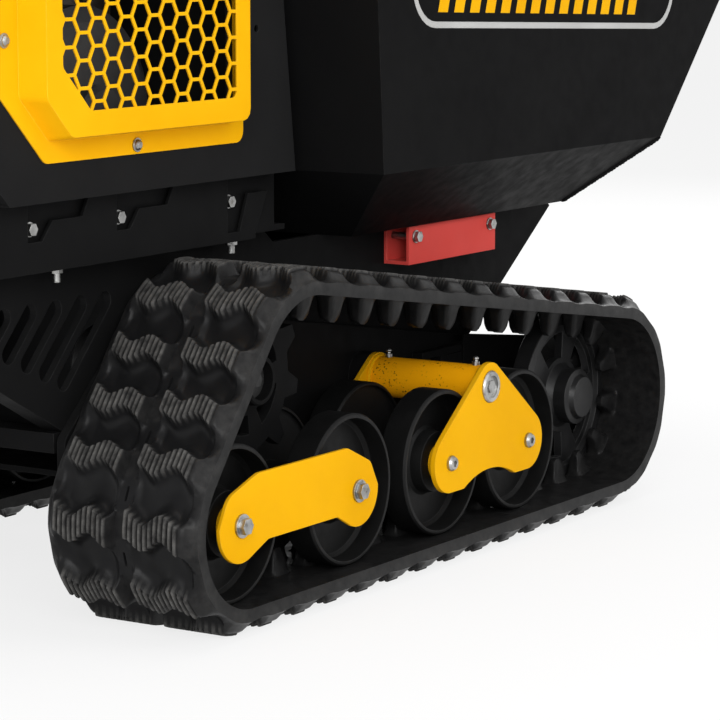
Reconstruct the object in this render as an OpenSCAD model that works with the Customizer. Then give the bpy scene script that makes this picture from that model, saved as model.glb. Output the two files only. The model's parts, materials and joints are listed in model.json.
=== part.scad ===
// Tracked power carrier: a walk-behind mini dumper on two rubber tracks, with a tipping skip in front.
// Millimetres. X points forward, Y to the left, Z up, and the ground is at Z = 0.

/* [Tracks] */
// Distance between the centre lines of the two tracks
track_gauge = 560; // [550:2:600]
// Width of one rubber track
track_w = 180; // [172:2:188]
// Pitch of one track link
link_pitch = 60; // [59.4:0.1:61]
// Number of links in one track
link_count = 37; // [37:1:38]
// Thickness of the belt between the lugs
belt_t = 8.5; // [7:0.5:10]
// Height of the ground lugs
lug_h = 20; // [14:0.5:22]
// Length of a lug along the travel, at its top
lug_top = 20; // [16:0.5:22]
// Length of a lug along the travel, at its foot
lug_foot = 27; // [25:0.5:30]
// How far the lug's zigzag swings along the travel
lug_wave = 9; // [0:0.5:10]
// Height of the guide lugs inside the track
guide_h = 28; // [22:0.5:30]

/* [Running gear] */
// Radius of the road wheels
wheel_r = 80; // [76:0.5:82]
// Width of one road wheel
wheel_w = 34; // [30:0.5:36]
// Distance between the first and second road-wheel axles
rear_axle_gap = 214; // [200:1:222]
// Distance from the second to the third road-wheel axle
middle_axle_gap = 187; // [178:1:192]
// Distance between the two axles of the rocking bogie
bogie_axle_gap = 172; // [168:1:178]
// Height of the bogie pivot above its axles
bogie_rise = 73; // [66:0.5:76]
// Radius of the road-wheel axles
axle_r = 10; // [8:0.5:12]
// Radius of the bogie pivot pin
pivot_r = 18; // [15:0.5:19]
// Thickness of the bogie plates and the tie plates
plate_t = 6; // [5:0.5:7]
// Number of sprocket teeth
sprocket_teeth = 10; // [10:1:11]
// Sprocket centre ahead of the first axle
sprocket_x = 110; // [104:1:122]
// Height of the sprocket centre above the ground
sprocket_z = 234; // [228:1:244]
// Radius of the drive shaft
drive_shaft_r = 15; // [12:0.5:18]
// Radius of the idler wheel
idler_r = 98; // [94:0.5:100]
// Travel of the track tensioner
tension_travel = 20; // [10:1:30]

/* [Chassis] */
// Distance from a track's centre line in to the chassis side plate
side_room = 104; // [102:1:110]
// Thickness of the side plates
side_plate_t = 8; // [6:0.5:10]
// Height of the belly above the ground
belly_z = 128; // [120:1:140]
// Height of the engine deck above the ground
deck_z = 366; // [362:1:370]
// Rear end of the chassis behind the first axle
chassis_rear = 300; // [290:1:330]
// Thickness of the folded sheet
sheet_t = 3; // [2:0.25:4]

/* [Engine housing] */
// How far the engine housing stands out beyond the chassis side plate
housing_overhang = 64; // [60:1:72]
// Height of the housing's lower edge
housing_z = 432; // [428:1:440]
// Height of the housing from its lower edge to its roof
housing_h = 368; // [360:2:420]
// Front of the housing ahead of the first axle, at its lower edge
housing_front = 272; // [262:1:280]
// Rear of the housing behind the first axle
housing_rear = 290; // [280:1:310]
// Angle by which the front of the housing leans back
housing_lean = 6.8; // [5:0.1:8]
// Across-flats size of a grille hexagon
hex_af = 22.5; // [16:0.5:26]
// Web between two hexagons
hex_web = 3.5; // [2:0.25:5]
// How far the grille's face stands proud
grille_rise = 28; // [20:0.5:34]

/* [Skip] */
// Width of the skip at its lower crease
skip_w = 640; // [620:2:660]
// Width of the skip's floor
skip_floor_w = 440; // [420:2:460]
// Height of the skip's floor above the ground
skip_z = 348; // [345:0.5:352]
// Height of the crease above the floor
skip_crease = 80; // [70:1:90]
// Height of the skip from its floor to its rim
skip_h = 392; // [360:2:420]
// Rear crease of the skip ahead of the first axle
skip_rear = 321; // [318:1:340]
// Front end of the skip's floor ahead of the first axle
skip_floor_front = 897; // [885:1:905]
// Slope of the skip's front wall
skip_front_slope = 48; // [46:0.5:52]
// Angle by which the skip's rear wall leans back
skip_lean = 7; // [5:0.1:8]
// Angle by which the skip's sides flare
skip_flare = 2; // [1:0.1:4]
// Thickness of the skip's plate
skip_t = 3; // [2:0.25:4]
// Radius of the skip's hinge pins
skip_pin_r = 12; // [10:0.5:14]

/* [Tipping cylinder] */
// Radius of the cylinder barrel
barrel_r = 26; // [22:0.5:28]
// Radius of the cylinder rod
rod_r = 14; // [12:0.5:16]
// Radius of the cylinder's pins
cylinder_pin_r = 9; // [8:0.5:10]

/* [Controls] */
// Radius of the handlebar tube
bar_r = 13; // [11:0.5:15]
// Reach of the handlebar behind the housing
bar_reach = 190; // [170:2:220]
// Height of the handlebar above the housing's roof
bar_rise = 150; // [120:2:180]
// Width of the handlebar
bar_w = 420; // [380:2:440]
// Height of the control levers above the console
lever_h = 130; // [110:2:150]
// Radius of a lever's knob
knob_r = 17; // [14:0.5:20]

/* [Fits] */
// Gap between pieces that lie against each other
seat_gap = 0.3; // [0.2:0.05:0.5]
// Radial clearance of a pin or shaft in its bore
running_fit = 0.05; // [0.02:0.01:0.1]

/* [Hidden] */
$fn = 64;

black_paint = [0.11, 0.11, 0.11];
yellow_paint = [0.96, 0.72, 0.05];
red_paint = [0.78, 0.27, 0.25];
rubber = [0.16, 0.16, 0.17];
black_plastic = [0.09, 0.09, 0.09];
zinc = [0.72, 0.72, 0.70];
steel = [0.55, 0.55, 0.56];
cast_grey = [0.35, 0.35, 0.36];

right = -1;
left = 1;
eps = 0.01;

// Heights and places of the running gear, from the first road-wheel axle
wheel_z = lug_h + belt_t + seat_gap + wheel_r;
axle_x = [
  0, rear_axle_gap, rear_axle_gap + middle_axle_gap, rear_axle_gap + middle_axle_gap + bogie_axle_gap
];
bogie_x = (axle_x[2] + axle_x[3]) / 2;
bogie_z = wheel_z + bogie_rise;
idler_z = lug_h + belt_t + seat_gap + idler_r;

// Neutral line of the belt: circles round the first wheel, the idler and the sprocket
wheel_path_r = wheel_r + seat_gap + belt_t / 2;
idler_path_r = idler_r + seat_gap + belt_t / 2;
sprocket_path_r = link_pitch * sprocket_teeth / (2 * PI);
loop_length = link_pitch * link_count;

function loop_circles(x) = [
  [0, wheel_z, wheel_path_r], [x, idler_z, idler_path_r], [sprocket_x, sprocket_z, sprocket_path_r]
];
function flat(c) = [c[0], c[1]];
// Angle of the outward normal on the straight run from circle a to circle b
function run_normal(a, b) =
  atan2(b[1] - a[1], b[0] - a[0]) - acos((a[2] - b[2]) / norm(flat(b) - flat(a)));
function run_length(a, b) = sqrt(pow(norm(flat(b) - flat(a)), 2) - pow(a[2] - b[2], 2));
function turn(a, b) = (b - a + 720) % 360;
function arc_length(c, from, to) = c[2] * turn(from, to) * PI / 180;
function path_length(c) =
  let (n1 = run_normal(c[0], c[1]), n2 = run_normal(c[1], c[2]), n3 = run_normal(c[2], c[0]))
  run_length(c[0], c[1]) + run_length(c[1], c[2]) + run_length(c[2], c[0])
  + arc_length(c[1], n1, n2) + arc_length(c[2], n2, n3) + arc_length(c[0], n3, n1);
// The idler lies where the loop takes up the whole track
function find_idler(low, high, steps) =
  let (middle = (low + high) / 2)
  steps == 0 ? middle
  : path_length(loop_circles(middle)) < loop_length ? find_idler(middle, high, steps - 1)
  : find_idler(low, middle, steps - 1);
idler_x = find_idler(sprocket_x + 300, sprocket_x + 1200, 40);

loop = loop_circles(idler_x);
normals = [run_normal(loop[0], loop[1]), run_normal(loop[1], loop[2]), run_normal(loop[2], loop[0])];
lengths = [
  run_length(loop[0], loop[1]), arc_length(loop[1], normals[0], normals[1]),
  run_length(loop[1], loop[2]), arc_length(loop[2], normals[1], normals[2]),
  run_length(loop[2], loop[0]), arc_length(loop[0], normals[2], normals[0])
];
function start_of(i) = i == 0 ? 0 : start_of(i - 1) + lengths[i - 1];
starts = [for (i = [0:5]) start_of(i)];
function on_circle(c, angle, r) = flat(c) + r * [cos(angle), sin(angle)];
function segment_at(s) = max([for (i = [0:5]) s >= starts[i] ? i : 0]);
// Point at s along the loop, h outside the neutral line
function path_point(s, h) =
  let (
    t = ((s % loop_length) + loop_length) % loop_length,
    i = segment_at(t),
    from = loop[floor(i / 2)],
    to = loop[ceil(i / 2) % 3],
    along = t - starts[i]
  )
  i % 2 == 0
    ? on_circle(from, normals[i / 2], from[2] + h)
      + along * [-sin(normals[i / 2]), cos(normals[i / 2])]
    : on_circle(to, normals[floor(i / 2)] + along / to[2] * 180 / PI, to[2] + h);

// Places across the track, outward from its centre line
lug_outer = track_w / 2 - 14;
lug_inner = 11;
lug_draft = 4;
guide_near = 14;
guide_far = 28;
guide_draft = 2;
window_half = 8;
first_lug = 14;
wheel_out = track_w / 2 - 24;
wheel_in = wheel_out - wheel_w;
plate_in = wheel_out + 4;
plate_out = plate_in + plate_t;
frame_in = -side_room;
beam_t = 10;
frame_out = frame_in + beam_t;

// Wheel details
rim_t = 5;
web_t = 6;
hub_r = 35;
tube_r = 22;
hub_out = wheel_out - 8;
spacer_gap = 0.5;
spacer_r = 19;

// Sprocket and idler details
sprocket_t = 12;
tooth_tip_r = sprocket_path_r + 1.5;
tooth_root_r = sprocket_path_r - belt_t / 2 - 14;
sprocket_hub_r = 26;
sprocket_hub_out = 26;
sprocket_hub_wall = 5.5;
hub_recess = 13;
shaft_bolt_r = 7.5;
idler_half = guide_near - guide_draft - 1;
idler_rim_t = 14;
idler_web_t = 10;
idler_hub_r = 33;
idler_hub_out = 37;
idler_hub_in = 30;
idler_axle_r = 15;
idler_axle_out = 30;
motor_r = 42;
motor_flange_r = 54;
motor_flange_t = 10;
motor_len = 86;
shaft_sink = 20;
hub_in = frame_out + motor_flange_t + 2;
tooth_phase = normals[1]
  + (first_lug + (link_pitch + lug_wave) / 2 - starts[3]) / sprocket_path_r * 180 / PI;

// Bogie and tie plate details
pivot_boss_r = 27;
axle_boss_r = 33;
bogie_tube_r = 23;
bogie_arch = 14;
head_t = 6;
washer_t = 2.5;
washer_r = 12;
hex_head_r = 8.8;
tie_end_r = 37.5;
axle_neck_r = 6;
button_r = 8.5;
socket_r = 4;
pin_rim = 5.5;

// Tensioner slide
slide_t = 14;
slide_low = idler_z - 20;
slide_high = idler_z + 58;
slide_back = idler_x - 140;
slide_front = idler_x + 74;
rail_h = 8;
beam_front = idler_x - 58;
beam_rear = 60;

// Chassis details
chassis_half = track_gauge / 2 - side_room;
housing_half = chassis_half + housing_overhang;
plate_inner = chassis_half - side_plate_t;
weld_y = chassis_half - side_plate_t / 2;
deck_front = 300;
deck_t = 6;
deck_in = 33;
deck_half = housing_half - deck_in;
upstand_h = 56;
skip_seat = skip_z - seat_gap;
front_tip = [947, skip_seat - 11];
front_knee = [760, 205];
skirt_out = deck_half + 8;
skirt_t = 4;
skirt_drop = 4;
skirt_top = housing_z;
slot_count = 5;
slot_w = 20;
slot_pitch = 40;
bolt_r = 4;
bolt_clear = 0.4;
bolt_head_r = 6.6;
bolt_head_t = 5;
bolt_washer_r = 7.4;
bolt_washer_t = 1.5;
bolt_hang = 16;
nut_t = 7;
tail_high = [-chassis_rear, deck_z - 38];
tail_low = [-42, deck_z - 177];
tail_lip_w = 26;
tail_lip_t = 6;
rear_bar_low = 172;
belly_rear = 30;
belly_front = 650;
belly_t = 6;

// Skip places
hinge_x = skip_floor_front + 28;
hinge_z = skip_z - 38;
hinge_reach = 22;
hinge_plate_t = 10;
hinge_plate_in = 100;
hinge_bar = [hinge_x - 215, hinge_z - 4];
hinge_bar_r = 26;
skip_lug_in = hinge_plate_in + hinge_plate_t + 1;
skip_top = skip_z + skip_h;
skip_floor_rear = skip_rear + skip_crease * 1.15;
skip_front = skip_floor_front + skip_h / tan(skip_front_slope);
rim_w = 16;
rim_t_skip = 6;

// Tipping cylinder: the eye's rest place on the skip, and the rod pin beside it
eye_back = 78.8;
eye_up = 14;
eye = [hinge_x - eye_back, hinge_z + eye_up];
eye_slack = 6.4;
rod_pin = eye + [-4.3, 4.1];
base_pin = [hinge_x - 270, hinge_z - 125];
cylinder_len = norm(rod_pin - base_pin);
cylinder_angle = atan2(rod_pin[1] - base_pin[1], rod_pin[0] - base_pin[0]);
barrel_len = 170;
barrel_wall = 6;
barrel_back = 24;
piston_at = barrel_back + barrel_wall + 6;
piston_t = 18;
eye_r = 17;
eye_half = 12;
neck_half = eye_r - 5;
rod_neck = 32;
eye_plate_t = 8;

// Engine housing places
housing_top = housing_z + housing_h;
rear_cut = 84;
function front_at(z) = housing_front - (z - housing_z) * tan(housing_lean);
grille_low = housing_z + 37;
grille_high = housing_top - 40;
grille_rear = -housing_rear + 55;
grille_front = housing_front - 100;
grille_cut = 80;
foot_rear = grille_rear + 42;
foot_low = grille_low + 21;
foot_front = grille_front - 14;
foot_high = grille_high - 21;
foot_cut = 43;
face_in = 10;
face_low_in = 4;
face_cut = 37;
window_in = 24;
window_cut = 42;
pan_t = 2;
screw_r = 2.5;
screw_head_r = 7;
screw_head_t = 5;
vent_hole = [housing_front - 72, housing_z + 152];
vent_hole_r = 4;

// Control console and handlebar places
console_front = -110;
console_rear = -housing_rear - 50;
console_high = 100;
console_low = 62;
console_half = housing_half - 35;
bar_root_z = housing_top - 110;
bar_bend = 60;
bar_foot_t = 6;
bar_rear = -housing_rear - bar_reach;
bar_top = housing_top + bar_rise;
grip_len = 120;
grip_t = 4;
lever_x = -225;
lever_slot_l = 74;
lever_slot_w = 14;
lever_sink = 24;
lever_r = 6;
lever_hub_r = 11;
trunnion_r = 5;
lever_y = [-80, 80, 0, 150];

// The model's box is centred on X = 0
x_shift = -(skip_front + rim_w + bar_rear - bar_r - grip_t) / 2;

module at_frame() translate([x_shift, 0, 0]) children();

// Local Y points outward from the track's centre line
module at_side(side)
  at_frame() mirror([0, side < 0 ? 1 : 0, 0]) translate([0, track_gauge / 2, 0]) children();

// A flat shape drawn in X and Z, standing from y0 to y1
module upright(y0, y1) translate([0, y1, 0]) rotate([90, 0, 0]) linear_extrude(y1 - y0) children();

// A flat shape drawn in Y and Z, lying along X from x0 to x1
module along_x(x0, x1) translate([x0, 0, 0]) rotate([90, 0, 90]) linear_extrude(x1 - x0) children();

// A round bar across the machine
module cross_bar(p, y0, y1, r) translate([p[0], y1, p[1]]) rotate([90, 0, 0]) cylinder(h = y1 - y0, r = r);

// A turned shape about the axis across the machine, drawn as radius and Y
module turned(p, points) translate([p[0], 0, p[1]]) rotate([-90, 0, 0]) rotate_extrude() polygon(points);

module block(low, high) translate(low) cube(high - low);

function unit(v) = v / norm(v);
// Arc that rounds corner b between a and c
function corner(a, b, c, r, steps) =
  let (
    u = unit(a - b),
    v = unit(c - b),
    half = acos(u * v) / 2,
    d = min(r / tan(half), 0.49 * norm(a - b), 0.49 * norm(c - b)),
    arc_r = d * tan(half),
    middle = b + unit(u + v) * arc_r / sin(half),
    from = b + u * d - middle,
    to = b + v * d - middle,
    a0 = atan2(from[1], from[0]),
    swing = atan2(to[1], to[0]) - a0,
    sweep = swing > 180 ? swing - 360 : swing < -180 ? swing + 360 : swing
  )
  [for (i = [0:steps]) middle + arc_r * [cos(a0 + sweep * i / steps), sin(a0 + sweep * i / steps)]];
function rounded(points, r, steps = 5) =
  let (n = len(points))
  [for (i = [0:n - 1]) each corner(points[(i + n - 1) % n], points[i], points[(i + 1) % n], r, steps)];

// Four-sided shape between the outer tangents of two circles
function tangents(a, ra, b, rb) =
  let (way = atan2(b[1] - a[1], b[0] - a[0]), lean = acos((ra - rb) / norm(b - a)))
  [
    a + ra * [cos(way + lean), sin(way + lean)], b + rb * [cos(way + lean), sin(way + lean)],
    b + rb * [cos(way - lean), sin(way - lean)], a + ra * [cos(way - lean), sin(way - lean)]
  ];

module disc(p, r) translate(p) circle(r = r);

// A slot with round ends, from one end's centre to the other's
module slot(from, to, w) {
  along = unit(to - from) * w / 2;
  across = [-along[1], along[0]];
  polygon(rounded(
    [from - along - across, to + along - across, to + along + across, from - along + across], w / 2
  ));
}

// Points of an arc round p, from one angle to another
function arc(p, r, from, to, steps = 8) =
  [for (i = [0:steps]) p + r * [cos(from + (to - from) * i / steps), sin(from + (to - from) * i / steps)]];
// A window shaped as part of a ring
function ring_part(p, r0, r1, from, to) = concat(arc(p, r0, from, to), arc(p, r1, to, from));

// Rubber track

// Lines across the track: place, height outside the belt at a lug, and share of the lug's swing
outer_lines = [
  [-track_w / 2, 0, 0], [-lug_outer - lug_draft, 0, 0], [-lug_outer, 1, 0],
  [-lug_outer * 2 / 3 - lug_inner / 3, 1, 1], [-lug_outer / 3 - lug_inner * 2 / 3, 1, 0],
  [-lug_inner, 1, 1], [-window_half, 0, 1],
  [window_half, 0, 0], [lug_inner, 1, 0],
  [lug_outer / 3 + lug_inner * 2 / 3, 1, 1], [lug_outer * 2 / 3 + lug_inner / 3, 1, 0],
  [lug_outer, 1, 1], [lug_outer + lug_draft, 0, 1], [track_w / 2, 0, 1]
];
inner_lines = [
  [track_w / 2, 0], [guide_far + guide_draft, 0], [guide_far, 1], [guide_near, 1],
  [guide_near - guide_draft, 0], [-guide_near + guide_draft, 0], [-guide_near, 1], [-guide_far, 1],
  [-guide_far - guide_draft, 0], [-track_w / 2, 0]
];
outer_count = len(outer_lines);
ring_count = outer_count + len(inner_lines);
outer_window = 6;
inner_window = outer_count + 4;

function track_point(s, y, h) = let (p = path_point(s, h)) [p[0], y, p[1]];
// Flat stretches between the lugs lie further out round the wheel and the idler, clear of their rims
chord_rise = pow(link_pitch - lug_foot, 2) / (8 * wheel_r) + 0.1;
function round_wheel(s) =
  let (t = ((s % loop_length) + loop_length) % loop_length)
  t < link_pitch || t > starts[5] - link_pitch
  || (t > starts[1] - link_pitch && t < starts[2] + link_pitch);
function inner_height(s) = -belt_t / 2 + (round_wheel(s) ? chord_rise : 0);
function track_ring(s, raised) = concat(
  [
    for (l = outer_lines)
      track_point(s + l[2] * lug_wave, l[0], belt_t / 2 + (raised ? l[1] * lug_h : 0))
  ],
  [
    for (l = inner_lines)
      track_point(s + lug_wave / 2, l[0], inner_height(s) - (raised ? l[1] * guide_h : 0))
  ]
);
// Each link has a ring at the lug's foot, two at its top and one at its other foot
function link_rings(i) =
  let (s = first_lug + i * link_pitch)
  concat(
    track_ring(s - lug_foot / 2, false), track_ring(s - lug_top / 2, true),
    track_ring(s + lug_top / 2, true), track_ring(s + lug_foot / 2, false)
  );
function quad(a, b, c, d) = [[a, b, c], [a, c, d]];
function ring_index(ring, k) = (ring % (4 * link_count)) * ring_count + k % ring_count;
// The valley after each lug is open in the middle, for the sprocket's teeth
function is_open(ring, k) = ring % 4 == 3 && (k == outer_window || k == inner_window);
track_skin = [
  for (ring = [0:4 * link_count - 1], k = [0:ring_count - 1])
    if (!is_open(ring, k))
      each quad(
        ring_index(ring, k), ring_index(ring, k + 1), ring_index(ring + 1, k + 1), ring_index(ring + 1, k)
      )
];
function window_walls(ring) =
  let (
    a = ring_index(ring, outer_window), b = ring_index(ring, outer_window + 1),
    c = ring_index(ring + 1, outer_window + 1), d = ring_index(ring + 1, outer_window),
    e = ring_index(ring, inner_window + 1), f = ring_index(ring, inner_window),
    g = ring_index(ring + 1, inner_window), h = ring_index(ring + 1, inner_window + 1)
  )
  concat(quad(a, b, f, e), quad(b, c, g, f), quad(c, d, h, g), quad(d, a, e, h));
track_windows = [for (i = [0:link_count - 1]) each window_walls(4 * i + 3)];

module track(side)
  color(rubber) at_side(side)
    polyhedron(
      points = [for (i = [0:link_count - 1]) each link_rings(i)],
      faces = concat(track_skin, track_windows), convexity = 10
    );

// Running gear

module wheels(side, i)
  color(black_plastic) at_side(side) {
    half = [
      [tube_r, 0], [tube_r, wheel_in + 4], [wheel_r - rim_t + 1, wheel_in + 4],
      [wheel_r - rim_t + 1, wheel_in],
      [wheel_r - 2, wheel_in], [wheel_r, wheel_in + 2], [wheel_r, wheel_out - 2], [wheel_r - 2, wheel_out],
      [wheel_r - rim_t, wheel_out], [wheel_r - rim_t - 1.5, wheel_in + 8 + web_t],
      [wheel_r - rim_t - 5, wheel_in + 4 + web_t], [hub_r + 3, wheel_in + 4 + web_t],
      [hub_r, wheel_in + 7 + web_t], [hub_r - 2, hub_out], [axle_r + running_fit, hub_out]
    ];
    mirrored = [for (k = [len(half) - 1:-1:1]) [half[k][0], -half[k][1]]];
    turned([axle_x[i], wheel_z], concat(half, mirrored));
  }

module hex_head(p, y, t, r = hex_head_r)
  translate([p[0], y + t, p[1]]) rotate([90, 0, 0]) cylinder(h = t, r = r, $fn = 6);

module rear_axles()
  color(zinc)
    for (side = [right, left], i = [0, 1])
      at_side(side) {
        p = [axle_x[i], wheel_z];
        cross_bar(p, frame_in, plate_out, axle_r);
        cross_bar(p, plate_out, plate_out + washer_t, washer_r);
        hex_head(p, plate_out + washer_t, head_t);
      }

module tie_plate(side) {
  a = [axle_x[0], wheel_z];
  b = [axle_x[1], wheel_z];
  rounded_run = [a + [47, -21], b + [-40, -21]];
  outline = concat(
    [a + [-22, 31]], arc(a, tie_end_r, 175, 295), rounded_run, arc(b, tie_end_r, 245, 365),
    [b + [23, 28], b + [-21, 48], a + [30, 48]]
  );
  color(yellow_paint) at_side(side) {
    upright(plate_in, plate_out)
      difference() {
        polygon(outline);
        disc(a, axle_r + running_fit);
        disc(b, axle_r + running_fit);
      }
    for (p = [a, b])
      turned(p, [
        [axle_r + running_fit, hub_out + spacer_gap], [spacer_r, hub_out + spacer_gap],
        [spacer_r, plate_in], [axle_r + running_fit, plate_in]
      ]);
  }
}

module bogie_outline(hole_r) {
  pivot = [bogie_x, bogie_z];
  a = [axle_x[2], wheel_z];
  b = [axle_x[3], wheel_z];
  arch_low = wheel_z - axle_boss_r;
  arch_half = bogie_axle_gap / 2 - 22;
  arch_r = (arch_half * arch_half + pow(bogie_arch + 4, 2)) / (2 * (bogie_arch + 4));
  difference() {
    union() {
      disc(pivot, pivot_boss_r);
      disc(a, axle_boss_r);
      disc(b, axle_boss_r);
      polygon(tangents(pivot, pivot_boss_r, a, axle_boss_r));
      polygon(tangents(pivot, pivot_boss_r, b, axle_boss_r));
      polygon(tangents(a, axle_boss_r, b, axle_boss_r));
      polygon([pivot, a, b]);
    }
    disc([bogie_x, arch_low + bogie_arch - arch_r], arch_r);
    disc(pivot, pivot_r + running_fit);
    disc(a, hole_r + running_fit);
    disc(b, hole_r + running_fit);
  }
}

module bogie(side)
  color(yellow_paint) at_side(side) {
    upright(plate_in, plate_out) bogie_outline(axle_neck_r);
    upright(-plate_out, -plate_in) bogie_outline(axle_r);
    turned([bogie_x, bogie_z], [
      [pivot_r + running_fit, -plate_in], [bogie_tube_r, -plate_in],
      [bogie_tube_r, plate_in], [pivot_r + running_fit, plate_in]
    ]);
    for (i = [2, 3], flip = [0, 1])
      mirror([0, flip, 0])
        turned([axle_x[i], wheel_z], [
          [axle_r + running_fit, hub_out + spacer_gap], [spacer_r, hub_out + spacer_gap],
          [spacer_r, plate_in], [axle_r + running_fit, plate_in]
        ]);
  }

module bogie_axles(side)
  color(zinc) at_side(side)
    for (i = [2, 3])
      difference() {
        turned([axle_x[i], wheel_z], [
          [0, -plate_out - 2], [axle_r + 2, -plate_out - 2], [axle_r + 2, -plate_out], [axle_r, -plate_out],
          [axle_r, plate_in - seat_gap], [axle_neck_r, plate_in - seat_gap], [axle_neck_r, plate_out],
          [button_r, plate_out], [button_r, plate_out + 3], [button_r - 2, plate_out + head_t],
          [0, plate_out + head_t]
        ]);
        hex_head([axle_x[i], wheel_z], plate_out + head_t - 4, 5, socket_r);
      }

module bogie_pins()
  color(zinc)
    for (side = [right, left])
      at_side(side) {
        turned([bogie_x, bogie_z], [
          [0, frame_in], [pivot_r, frame_in], [pivot_r, plate_out + 1], [pivot_r - 1.5, plate_out + 3],
          [pivot_r - pin_rim, plate_out + 3], [pivot_r - pin_rim, plate_out], [0, plate_out]
        ]);
        hex_head([bogie_x, bogie_z], plate_out - 1, 3.5, shaft_bolt_r);
      }

module sprocket(side) {
  centre = [sprocket_x, sprocket_z];
  step = 360 / sprocket_teeth;
  root_half = 10.5;
  tip_half = 4.2;
  teeth = [
    for (i = [0:sprocket_teeth - 1])
      let (a = tooth_phase + i * step)
      each [
        on_circle(centre, a - step / 2, tooth_root_r), on_circle(centre, a - root_half, tooth_root_r),
        on_circle(centre, a - tip_half, tooth_tip_r), on_circle(centre, a + tip_half, tooth_tip_r),
        on_circle(centre, a + root_half, tooth_root_r)
      ]
  ];
  color(black_paint) at_side(side) {
    upright(-sprocket_t / 2, sprocket_t / 2)
      difference() {
        polygon(teeth);
        disc(centre, sprocket_hub_r - 4);
        for (i = [0:4])
          polygon(ring_part(centre, 38, 58, i * 72 + 12, i * 72 + 60));
      }
    turned(centre, [
      [drive_shaft_r + running_fit, hub_in], [sprocket_hub_r, hub_in], [sprocket_hub_r, sprocket_hub_out - 2],
      [sprocket_hub_r - 2, sprocket_hub_out], [sprocket_hub_r - sprocket_hub_wall, sprocket_hub_out],
      [sprocket_hub_r - sprocket_hub_wall, sprocket_hub_out - hub_recess],
      [drive_shaft_r + running_fit, sprocket_hub_out - hub_recess]
    ]);
  }
}

module drive_shaft(side)
  color(zinc) at_side(side) {
    p = [sprocket_x, sprocket_z];
    shaft_end = sprocket_hub_out - hub_recess;
    cross_bar(p, frame_out - shaft_sink, shaft_end, drive_shaft_r);
    cross_bar(p, shaft_end, shaft_end + washer_t, drive_shaft_r + 4);
    hex_head(p, shaft_end + washer_t, head_t, shaft_bolt_r);
  }

module drive_motors()
  color(cast_grey)
    for (side = [right, left])
      at_side(side)
        difference() {
          turned([sprocket_x, sprocket_z], [
            [0, frame_in - motor_len], [motor_r - 6, frame_in - motor_len],
            [motor_r, frame_in - motor_len + 6], [motor_r, frame_out], [motor_flange_r, frame_out],
            [motor_flange_r, frame_out + motor_flange_t - 2],
            [motor_flange_r - 2, frame_out + motor_flange_t],
            [drive_shaft_r + running_fit, frame_out + motor_flange_t],
            [drive_shaft_r + running_fit, frame_out - shaft_sink - seat_gap],
            [0, frame_out - shaft_sink - seat_gap]
          ]);
          for (i = [0:2])
            cross_bar(
              [sprocket_x, sprocket_z] + 18 * [cos(i * 120), sin(i * 120)],
              frame_in - motor_len - 1, frame_in - motor_len + 12, 5
            );
        }

module idler(side) {
  centre = [idler_x, idler_z];
  web_r = idler_r - idler_rim_t;
  color(black_paint) at_side(side)
    difference() {
      turned(centre, [
        [idler_axle_r + running_fit, -idler_hub_in], [idler_hub_r, -idler_hub_in],
        [idler_hub_r, -idler_web_t / 2],
        [web_r, -idler_web_t / 2], [web_r + 2, -idler_half], [idler_r - 1, -idler_half],
        [idler_r, -idler_half + 1], [idler_r, idler_half - 1], [idler_r - 1, idler_half],
        [web_r + 2, idler_half], [web_r, idler_web_t / 2], [idler_hub_r + 6, idler_web_t / 2],
        [idler_hub_r, idler_web_t / 2 + 8], [idler_hub_r, idler_hub_out - 8],
        [idler_hub_r - 6, idler_hub_out - 6], [idler_hub_r - 9, idler_hub_out], [0, idler_hub_out],
        [0, idler_axle_out + seat_gap], [idler_axle_r + running_fit, idler_axle_out + seat_gap]
      ]);
      for (i = [0:4])
        upright(-idler_half - 1, idler_half + 1)
          polygon(ring_part(centre, idler_hub_r + 12, web_r - 8, i * 72 + 14, i * 72 + 58));
    }
}

// Bar of the track tensioner, with the idler's stub axle
module idler_slide(side)
  color(black_paint) at_side(side) {
    y0 = frame_out + seat_gap;
    upright(y0, y0 + slide_t)
      polygon(rounded([
        [slide_back, slide_low], [slide_front - 14, slide_low], [slide_front, slide_low + 20],
        [slide_front, slide_high - 4], [slide_back, slide_high]
      ], 4, 3));
    cross_bar([idler_x, idler_z], y0 + slide_t / 2, -idler_hub_in - spacer_gap, idler_axle_r + 9);
    cross_bar([idler_x, idler_z], y0 + slide_t / 2, idler_axle_out, idler_axle_r);
  }

module track_frame(side) {
  motor = [sprocket_x, sprocket_z];
  pivot = [bogie_x, bogie_z];
  roof = 0.16;
  outline = [
    [-beam_rear, wheel_z - 30], [beam_front, wheel_z - 30], [beam_front, slide_high + seat_gap + rail_h + 6],
    [beam_front - 370, slide_high + seat_gap + rail_h + 6 + 370 * roof], [sprocket_x + 70, sprocket_z + 62],
    [sprocket_x - 50, sprocket_z + 62], [-beam_rear, wheel_z + 78]
  ];
  color(black_paint) at_side(side) {
    difference() {
      union() {
        upright(frame_in, frame_out) polygon(rounded(outline, 12));
        cross_bar(pivot, frame_in + beam_t / 2, -plate_out - seat_gap, pivot_boss_r);
        for (i = [0, 1])
          cross_bar([axle_x[i], wheel_z], frame_in + beam_t / 2, -hub_out - spacer_gap, spacer_r + 3);
      }
      cross_bar(motor, frame_in - 1, frame_out + 1, motor_r + seat_gap);
      cross_bar(pivot, frame_in - 1, 0, pivot_r + running_fit);
      for (i = [0, 1]) cross_bar([axle_x[i], wheel_z], frame_in - 1, 0, axle_r + running_fit);
    }
    for (z = [slide_low - seat_gap - rail_h, slide_high + seat_gap])
      block([slide_back - 40, frame_in + beam_t / 2, z], [beam_front, frame_out + slide_t, z + rail_h]);
  }
}

// Chassis

module slanted_slots() {
  low = [21, deck_z - 50];
  way = unit([-75, -79]);
  for (i = [0:slot_count - 1]) {
    from = low - [slot_pitch * i, 0];
    slot(from, from + way * (100 - 17 * i), slot_w);
  }
}

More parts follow.
